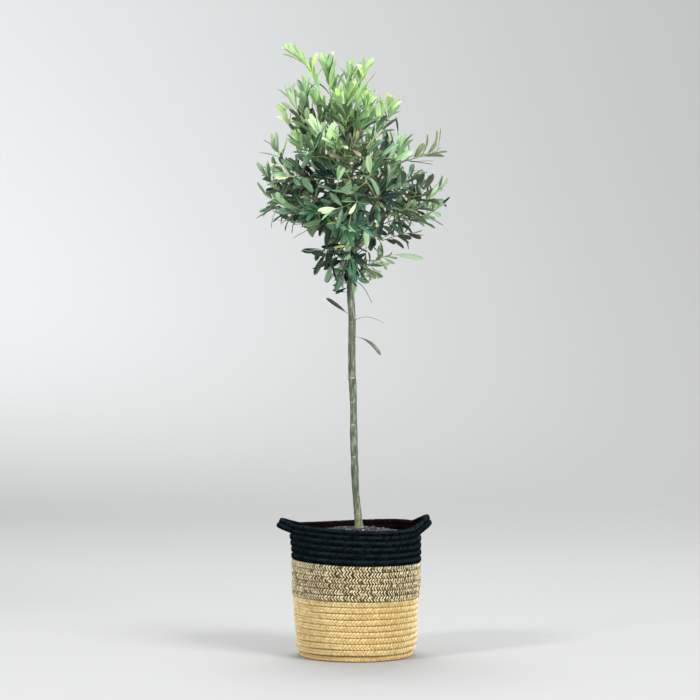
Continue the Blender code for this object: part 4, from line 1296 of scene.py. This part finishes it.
def leaf_verts(root, along, face, length, width, fold, curl, sway, twist, stalk, cup):
    """(leaves, verts, 3).  Each leaf has its root, the way it points, the way its
    upper side faces, and its own size, fold, curl, sway, twist and stalk."""
    n = len(root)
    t = LEAF_T[None]
    L = length[:, None]
    # blade outline: narrow at the stalk, widest past the middle, a short tip
    w = (t**0.80) * (1 - t) ** 0.52
    w = w / w.max() * (width / 2)[:, None] + 0.00032
    w[:, 0] = 0.00040
    k = np.where(np.abs(curl) < 0.02, 0.02, curl)[:, None]
    x = L * np.sin(k * t) / k
    z = -L * (1 - np.cos(k * t)) / k
    y = (sway * length)[:, None] * t**2
    rib = 0.00030
    lat = np.stack([-w, -w * 0.55, np.full_like(w, -rib), np.full_like(w, rib), w * 0.55, w, np.full_like(w, rib * 1.2), np.full_like(w, -rib * 1.2)], -1)
    rise = np.tan(fold)[:, None, None] * np.abs(lat)
    edge = np.array([1.0, 0.3, 0, 0, 0.3, 1.0, 0, 0])
    rise = rise - cup[:, None, None] * w[..., None] * edge * 0.5
    rise = rise + np.array([0, 0.00004, -0.00010, -0.00010, 0.00004, 0, -0.00062, -0.00062])
    thick = np.concatenate([[0.5], np.ones(len(LEAF_T) - 2), [0.6]])
    rise[..., 6:] = rise[..., 6:] * thick[None, :, None]
    # twist about the leaf's own line
    tw = (twist[:, None] * t)[..., None]
    ly = lat * np.cos(tw) - rise * np.sin(tw)
    lz = lat * np.sin(tw) + rise * np.cos(tw)
    # the rising part stands square to the curled line
    s, c = np.sin(k * t)[..., None], np.cos(k * t)[..., None]
    X = x[..., None] + lz * s + stalk[:, None, None]
    Z = z[..., None] + lz * c
    Y = y[..., None] + ly
    blade = np.stack([X, Y, Z], -1)  # n, rings, 8, 3
    ring0 = np.zeros((n, 1, 8, 3))
    ang = np.array([math.pi * 1.0, 2.4, 1.9, 1.25, 0.75, 0.0, -0.9, -2.2])
    sr = 0.00045
    ring0[:, 0, :, 0] = -0.0006
    ring0[:, 0, :, 1] = np.cos(ang) * sr
    ring0[:, 0, :, 2] = np.sin(ang) * sr
    tip = np.stack([L[:, 0] * np.sin(k[:, 0]) / k[:, 0] + stalk + 0.0004, sway * length, -L[:, 0] * (1 - np.cos(k[:, 0])) / k[:, 0] - 0.0002], -1)[:, None]
    rootv = np.zeros((n, 1, 3))
    rootv[..., 0] = -0.0009
    local = np.concatenate([ring0.reshape(n, 8, 3), blade.reshape(n, -1, 3), tip, rootv], 1)
    along = unit(along)
    up = unit(face - along * (face * along).sum(1, keepdims=True))
    side = np.cross(up, along)
    return root[:, None] + local[..., 0:1] * along[:, None] + local[..., 1:2] * side[:, None] + local[..., 2:3] * up[:, None]


def leaf_list(sk, shoots, load, rng):
    """Where every leaf stands, from the shoots that bear them."""
    out = {k: [] for k in ("root", "along", "face", "length", "width", "fold", "curl", "sway", "twist", "stalk", "cup", "tone", "age", "inner")}

    def leaf(root, along, face, length, tone, age, narrow=1.0, curl=None, fold=None, stalk=None, inner=False):
        out["root"].append(root)
        out["along"].append(unit(along))
        out["face"].append(unit(face))
        out["length"].append(length)
        out["width"].append(length * rng.uniform(0.225, 0.285) * narrow)
        out["fold"].append(rng.uniform(0.10, 0.42) if fold is None else fold)
        out["curl"].append(rng.normal(0.30, 0.30) if curl is None else curl)
        out["sway"].append(rng.normal(0, 0.05))
        out["twist"].append(rng.normal(0, 0.32))
        out["stalk"].append(0.0032 * length / 0.038 if stalk is None else stalk)
        out["cup"].append(rng.uniform(0.0, 0.22))
        out["tone"].append(TONE_NAMES.index(str(tone)))
        out["age"].append(age)
        out["inner"].append(int(inner))

    for s in shoots:
        if s["tone"] == "bare":
            continue
        chain = s["chain"]
        line = np.array([sk.p[i] for i in chain])
        rad = twig_radius(np.array([load[i] for i in chain]))
        run = np.concatenate([[0], np.cumsum(np.linalg.norm(np.diff(line, axis=0), axis=1))])
        total = run[-1]
        own = float(np.linalg.norm(np.diff(s["line"], axis=0), axis=1).sum())
        leafy = min(total - 0.004, own * 1.0 + 0.010)
        tangent = unit(np.gradient(line, axis=0))
        normal = unit(np.cross(tangent[-1], rng.normal(size=3)))
        turn = rng.uniform(0, 2 * math.pi)
        gap_from_tip, k = 0.0, 0
        grow = s["size"]
        young = s["tone"] in ("lime", "spring", "fresh")
        while gap_from_tip < leafy:
            at = total - gap_from_tip
            p = np.array([np.interp(at, run, line[:, c]) for c in range(3)])
            t = unit(np.array([np.interp(at, run, tangent[:, c]) for c in range(3)]))
            r = float(np.interp(at, run, rad))
            n = unit(normal - t * normal.dot(t))
            b = np.cross(t, n)
            # leaves grow from tip to full size over the first few pairs
            stage = min(1.0, (k + s["head"]) / (4.2 if young else 3.2))
            size = grow * 0.0415 * (0.30 + 0.70 * stage**0.8) * (1.0 if gap_from_tip < 0.75 * leafy else 0.88)
            size *= np.interp(p[1], (-0.11, -0.05), (0.80, 1.0))  # shorter at the front
            erect = np.interp(p[2], (0.80, 0.89), (1.0, 0.60))
            angle = erect * math.radians(np.interp(stage, (0, 0.5, 1), (16, 30, 46)) + rng.normal(0, 7))
            if k == 0:
                angle = math.radians(9)
            turn += math.pi / 2 + rng.normal(0, 0.16)
            for side in (0, math.pi):
                if k > 1 and rng.random() < (0.10 if gap_from_tip < 0.55 * leafy else 0.34):
                    continue
                ang = turn + side + rng.normal(0, 0.10)
                out_dir = n * math.cos(ang) + b * math.sin(ang)
                a = angle + rng.normal(0, 0.10)
                d = t * math.cos(a) + out_dir * math.sin(a)
                pull = np.interp(p[2], (0.66, 0.71, 0.75, 0.80, 0.86), (-0.45, -0.22, 0.02, 0.26, 0.36))
                d = unit(d + np.array([0, 0, pull]) + rng.normal(0, 0.07, 3))
                ada = t * math.sin(a) - out_dir * math.cos(a)
                # the low leaves face out more than up
                low = np.interp(p[2], (0.66, 0.76), (1.0, 0.0))
                light = unit(crown_normal(p) * (0.7 + 0.7 * low) + np.array([0, 0, 1.0 - 0.75 * low]))
                lean = 0.75 if stage > 0.6 else 0.35
                f = unit(ada * (1 - lean) + light * lean + rng.normal(0, 0.26, 3))
                if abs(f.dot(d)) > 0.93:
                    f = ada
                length = size * rng.uniform(0.88, 1.12)
                if not s["lead"]:
                    at_leaf = p + d * length * np.array([0.3, 0.6, 0.95, 1.05])[:, None]
                    if in_gap(at_leaf[:3]).any() or outside(at_leaf[[1, 3]]).any():
                        continue
                reach = p + d * (length + 0.004)
                if not (-0.1665 < reach[0] < 0.1545 and -0.1475 < reach[1] < 0.1475 and reach[2] < 1.0):
                    continue
                inside = float(depth_in_crown(p[None])[0])
                age = 0 if stage < 0.55 else (1 if gap_from_tip < 0.55 * leafy else 2)
                age = int(np.clip(age + rng.choice((-1, 0, 1), p=(0.13, 0.70, 0.17)), 0, 2))
                # painted shade: deep inside the crown every leaf takes its old, darkest upper tone
                if inside < 0.72:
                    age = 2
                tone = s["tone"]
                if rng.random() < 0.14:
                    tone = NEAR_TONE[tone]
                if tone in ("lime", "spring") and gap_from_tip > 0.5 * leafy:
                    tone = "fresh" if rng.random() < 0.5 else tone
                # painted shade: leaves deep inside the crown below 0.87 m get the darkened underside and rib materials
                leaf(p + out_dir * r * 0.7, d, f, length, tone, age, 1.0 if stage > 0.5 else 0.86, inner=inside < 0.66 and p[2] < 0.87)
            step = np.interp(stage, (0.2, 0.5, 1.0), (0.0050, 0.0090, 0.0130)) * rng.uniform(0.85, 1.2) * grow
            gap_from_tip += step
            k += 1
    # single leaves left on the trunk and below the head
    def lone(px0, py0, px1, py1, y, tone, age, narrow, face, curl):
        a, b = at_pixel(px0, py0, y), at_pixel(px1, py1, y - 0.004)
        chord = unit(b - a)
        up = np.array(face, float)
        up = unit(up - chord * up.dot(chord))
        leaf(a, chord * math.cos(curl / 2) + up * math.sin(curl / 2), up, float(np.linalg.norm(b - a)), tone, age, narrow, curl, 0.2, 0.003)

    lone(347, 313, 327.5, 299.5, -0.004, "dark", 2, 0.72, (-0.35, -0.5, 0.8), 0.15)
    lone(346, 292, 334.5, 291, -0.006, "teal", 2, 1.0, (0.0, -0.8, 0.6), 0.2)
    lone(348, 287, 337, 293, -0.008, "dark", 2, 0.9, (0.1, -0.6, 0.8), 0.1)
    lone(345, 283, 335, 286, 0.004, "teal", 1, 0.9, (0.0, -0.7, 0.7), 0.2)
    lone(393, 254.6, 421.5, 258, -0.015, "lone", 1, 0.84, (0.0, -0.75, 0.66), 0.1)
    lone(357.5, 337, 379, 356, -0.001, "bronze", 2, 0.62, (0.62, -0.45, 0.66), 0.95)
    lone(276, 207.5, 257.5, 218.5, -0.03, "dark", 2, 0.45, (-0.3, -0.7, 0.6), 0.25)
    lone(290, 177, 264, 164.5, 0.03, "sage", 0, 0.5, (-0.2, -0.8, 0.6), 0.1)
    lone(398, 134, 396.5, 119, 0.03, "dark", 2, 0.5, (0.4, -0.8, 0.2), 0.1)
    lone(440, 206, 448.5, 198.5, -0.01, "dark", 2, 0.6, (0.2, -0.8, 0.5), 0.1)
    for px, py, far, y in ((341, 224, -1, -0.085), (331, 248, 1, -0.045)):
        leaf(at_pixel(px, py, y), np.array([far, -0.4, 0.1]), np.array([0, -0.6, 0.8]), 0.022, "yellow", 1)
    return {k: np.array(v) for k, v in out.items()}


def own_stalks(nodes, leaves, count):
    """A thin stalk from the wood behind it to each of the last leaves, which stand alone."""
    for root, along, tone in zip(leaves["root"][-count:], leaves["along"][-count:], leaves["tone"][-count:]):
        v = root - nodes
        away = np.linalg.norm(v, axis=1)
        behind = (v @ along) / np.maximum(away, 1e-6)
        start = nodes[int(np.argmin(away * (1.6 - 0.6 * behind)))]
        far = float(np.linalg.norm(root - start))
        line = hermite(start, (root - start) * 0.9, root + along * 0.0006, along * far * 0.6, max(6, int(far / 0.003)))
        v, f = closed_tube(line, np.linspace(0.00066, 0.00044, len(line)), 6)
        name = TONE_NAMES[tone]
        yield v, f, 2 if name in ("dark", "teal") else (0 if name == "sage" else 1)


def build_crown():
    rng = np.random.default_rng(SEED)
    sk, shoots, load = grow_twigs(rng)
    radius = twig_radius(load)
    # twigs: each chain is a tube from where it leaves its bearer to its tip
    wood, green = Heap(), Heap()
    for s in shoots:
        chain = s["chain"]
        pts = np.array([sk.p[i] for i in chain])
        r = radius[chain].copy()
        if len(chain) > 1:
            r[0] = r[1]
        r = np.minimum(r, 0.0026)
        r[-1] = 0.00045
        r = np.maximum(r, 0.00045)
        pr = resampled(np.concatenate([pts, r[:, None]], 1), 0.0042)
        old = pr[:, 3] > 0.00115
        cut = int(old.sum())
        if cut > 2 and cut < len(pr) - 1:
            v, f = closed_tube(pr[: cut + 1, :3], pr[: cut + 1, 3], 7)
            wood.add(v, f, 0)
            v, f = closed_tube(pr[cut:, :3], pr[cut:, 3], 6)
            green.add(v, f, 0 if s["tone"] in ("lime", "spring", "fresh", "sage") else 1)
        elif cut >= len(pr) - 1:
            v, f = closed_tube(pr[:, :3], pr[:, 3], 7)
            wood.add(v, f, 0)
        else:
            v, f = closed_tube(pr[:, :3], pr[:, 3], 6)
            green.add(v, f, 0 if s["tone"] in ("lime", "spring", "fresh", "sage") else 1)
    L = leaf_list(sk, shoots, load, rng)
    nodes = np.concatenate([np.array(sk.p), resampled(limb_rows("trunk"), 0.003)[:, :3]])
    for v, f, slot in own_stalks(nodes, L, 12):
        green.add(v, f, slot)
    # bare stalks left under the head
    for pts, y, tan in ((((354, 281), (360, 284), (366, 291), (372, 303)), -0.008, 2), (((357, 319), (364, 317), (373, 318), (384, 323)), -0.006, 3), (((411, 162), (421, 161.2), (433, 161)), -0.016, 1)):
        line = np.array([at_pixel(px, py, y) for px, py in pts])
        bearer = nodes[int(np.argmin(np.linalg.norm(nodes - line[0], axis=1)))]
        line = np.concatenate([bearer[None], line])
        line = resampled(through(line, np.linspace(0, len(line) - 1, 30)), 0.004)
        r = np.linspace(0.00075, 0.00042, len(line))
        v, f = closed_tube(line, r, 6)
        green.add(v, f, tan)
    wood_mat, nt, bsdf = principled("twig_wood", linear(128, 122, 92), 0.8, 0.3)
    fac = noise_at(nt, 500.0, (1, 1, 0.6), 4.0)
    nt.links.new(ramp(nt, fac, [(0.32, linear(96, 92, 66)), (0.66, linear(156, 150, 120))]), bsdf.inputs["Base Color"])
    bumped(nt, bsdf, noise_at(nt, 1500.0), 0.4, 0.0003)
    g0, _, _ = principled("twig_green", linear(156, 172, 116), 0.6, 0.35)
    g1, _, _ = principled("twig_tan", linear(142, 140, 104), 0.7, 0.3)
    twigs = wood.build("twigs_wood", [wood_mat])
    g2, _, _ = principled("twig_dark", linear(72, 84, 66), 0.7, 0.3)
    g3, _, _ = principled("twig_grey", linear(124, 128, 112), 0.7, 0.3)
    shoots_ob = green.build("twigs_green", [g0, g1, g2, g3])
    mats, under0, rib0 = leaf_materials()
    verts = leaf_verts(L["root"], L["along"], L["face"], L["length"], L["width"], L["fold"], L["curl"], L["sway"], L["twist"], L["stalk"], L["cup"])
    quads, tris, part_q, part_t = leaf_template()
    base = L["tone"] * AGES + L["age"]
    made = []
    centre = verts.mean(1)
    upper = centre[:, 2] > 0.79
    for name, pick in (("leaves_upper", upper), ("leaves_lower", ~upper)):
        heap = Heap()
        other = (L["tone"] + L["inner"] * len(TONES))[pick]
        own = np.stack([base[pick], under0 + other, rib0 + other], 1)
        sq, st = own[:, part_q], own[:, part_t]
        heap.add_copies(verts[pick], [quads, tris], [sq, st])
        made.append(heap.build(name, mats, sharp=58))
    high = [n for n, v in MASSES.items() if v[0][2] > 0.79]
    low = [n for n, v in MASSES.items() if v[0][2] <= 0.79]
    for o, nodes in ((made[0], high + ["shoot_top_left", "shoot_top", "shoot_top_right", "shoot_right", "shoot_left"]), (made[1], low + ["tuft_right", "tuft_left"])):
        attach(o, "root")
        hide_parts(*nodes)
    for o in (twigs, shoots_ob):
        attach(o, "root")
        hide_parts("tuft_right")
    return made


FILL_SHOOTS = 104
SEED = 20
build_crown()

bpy.context.view_layer.update()
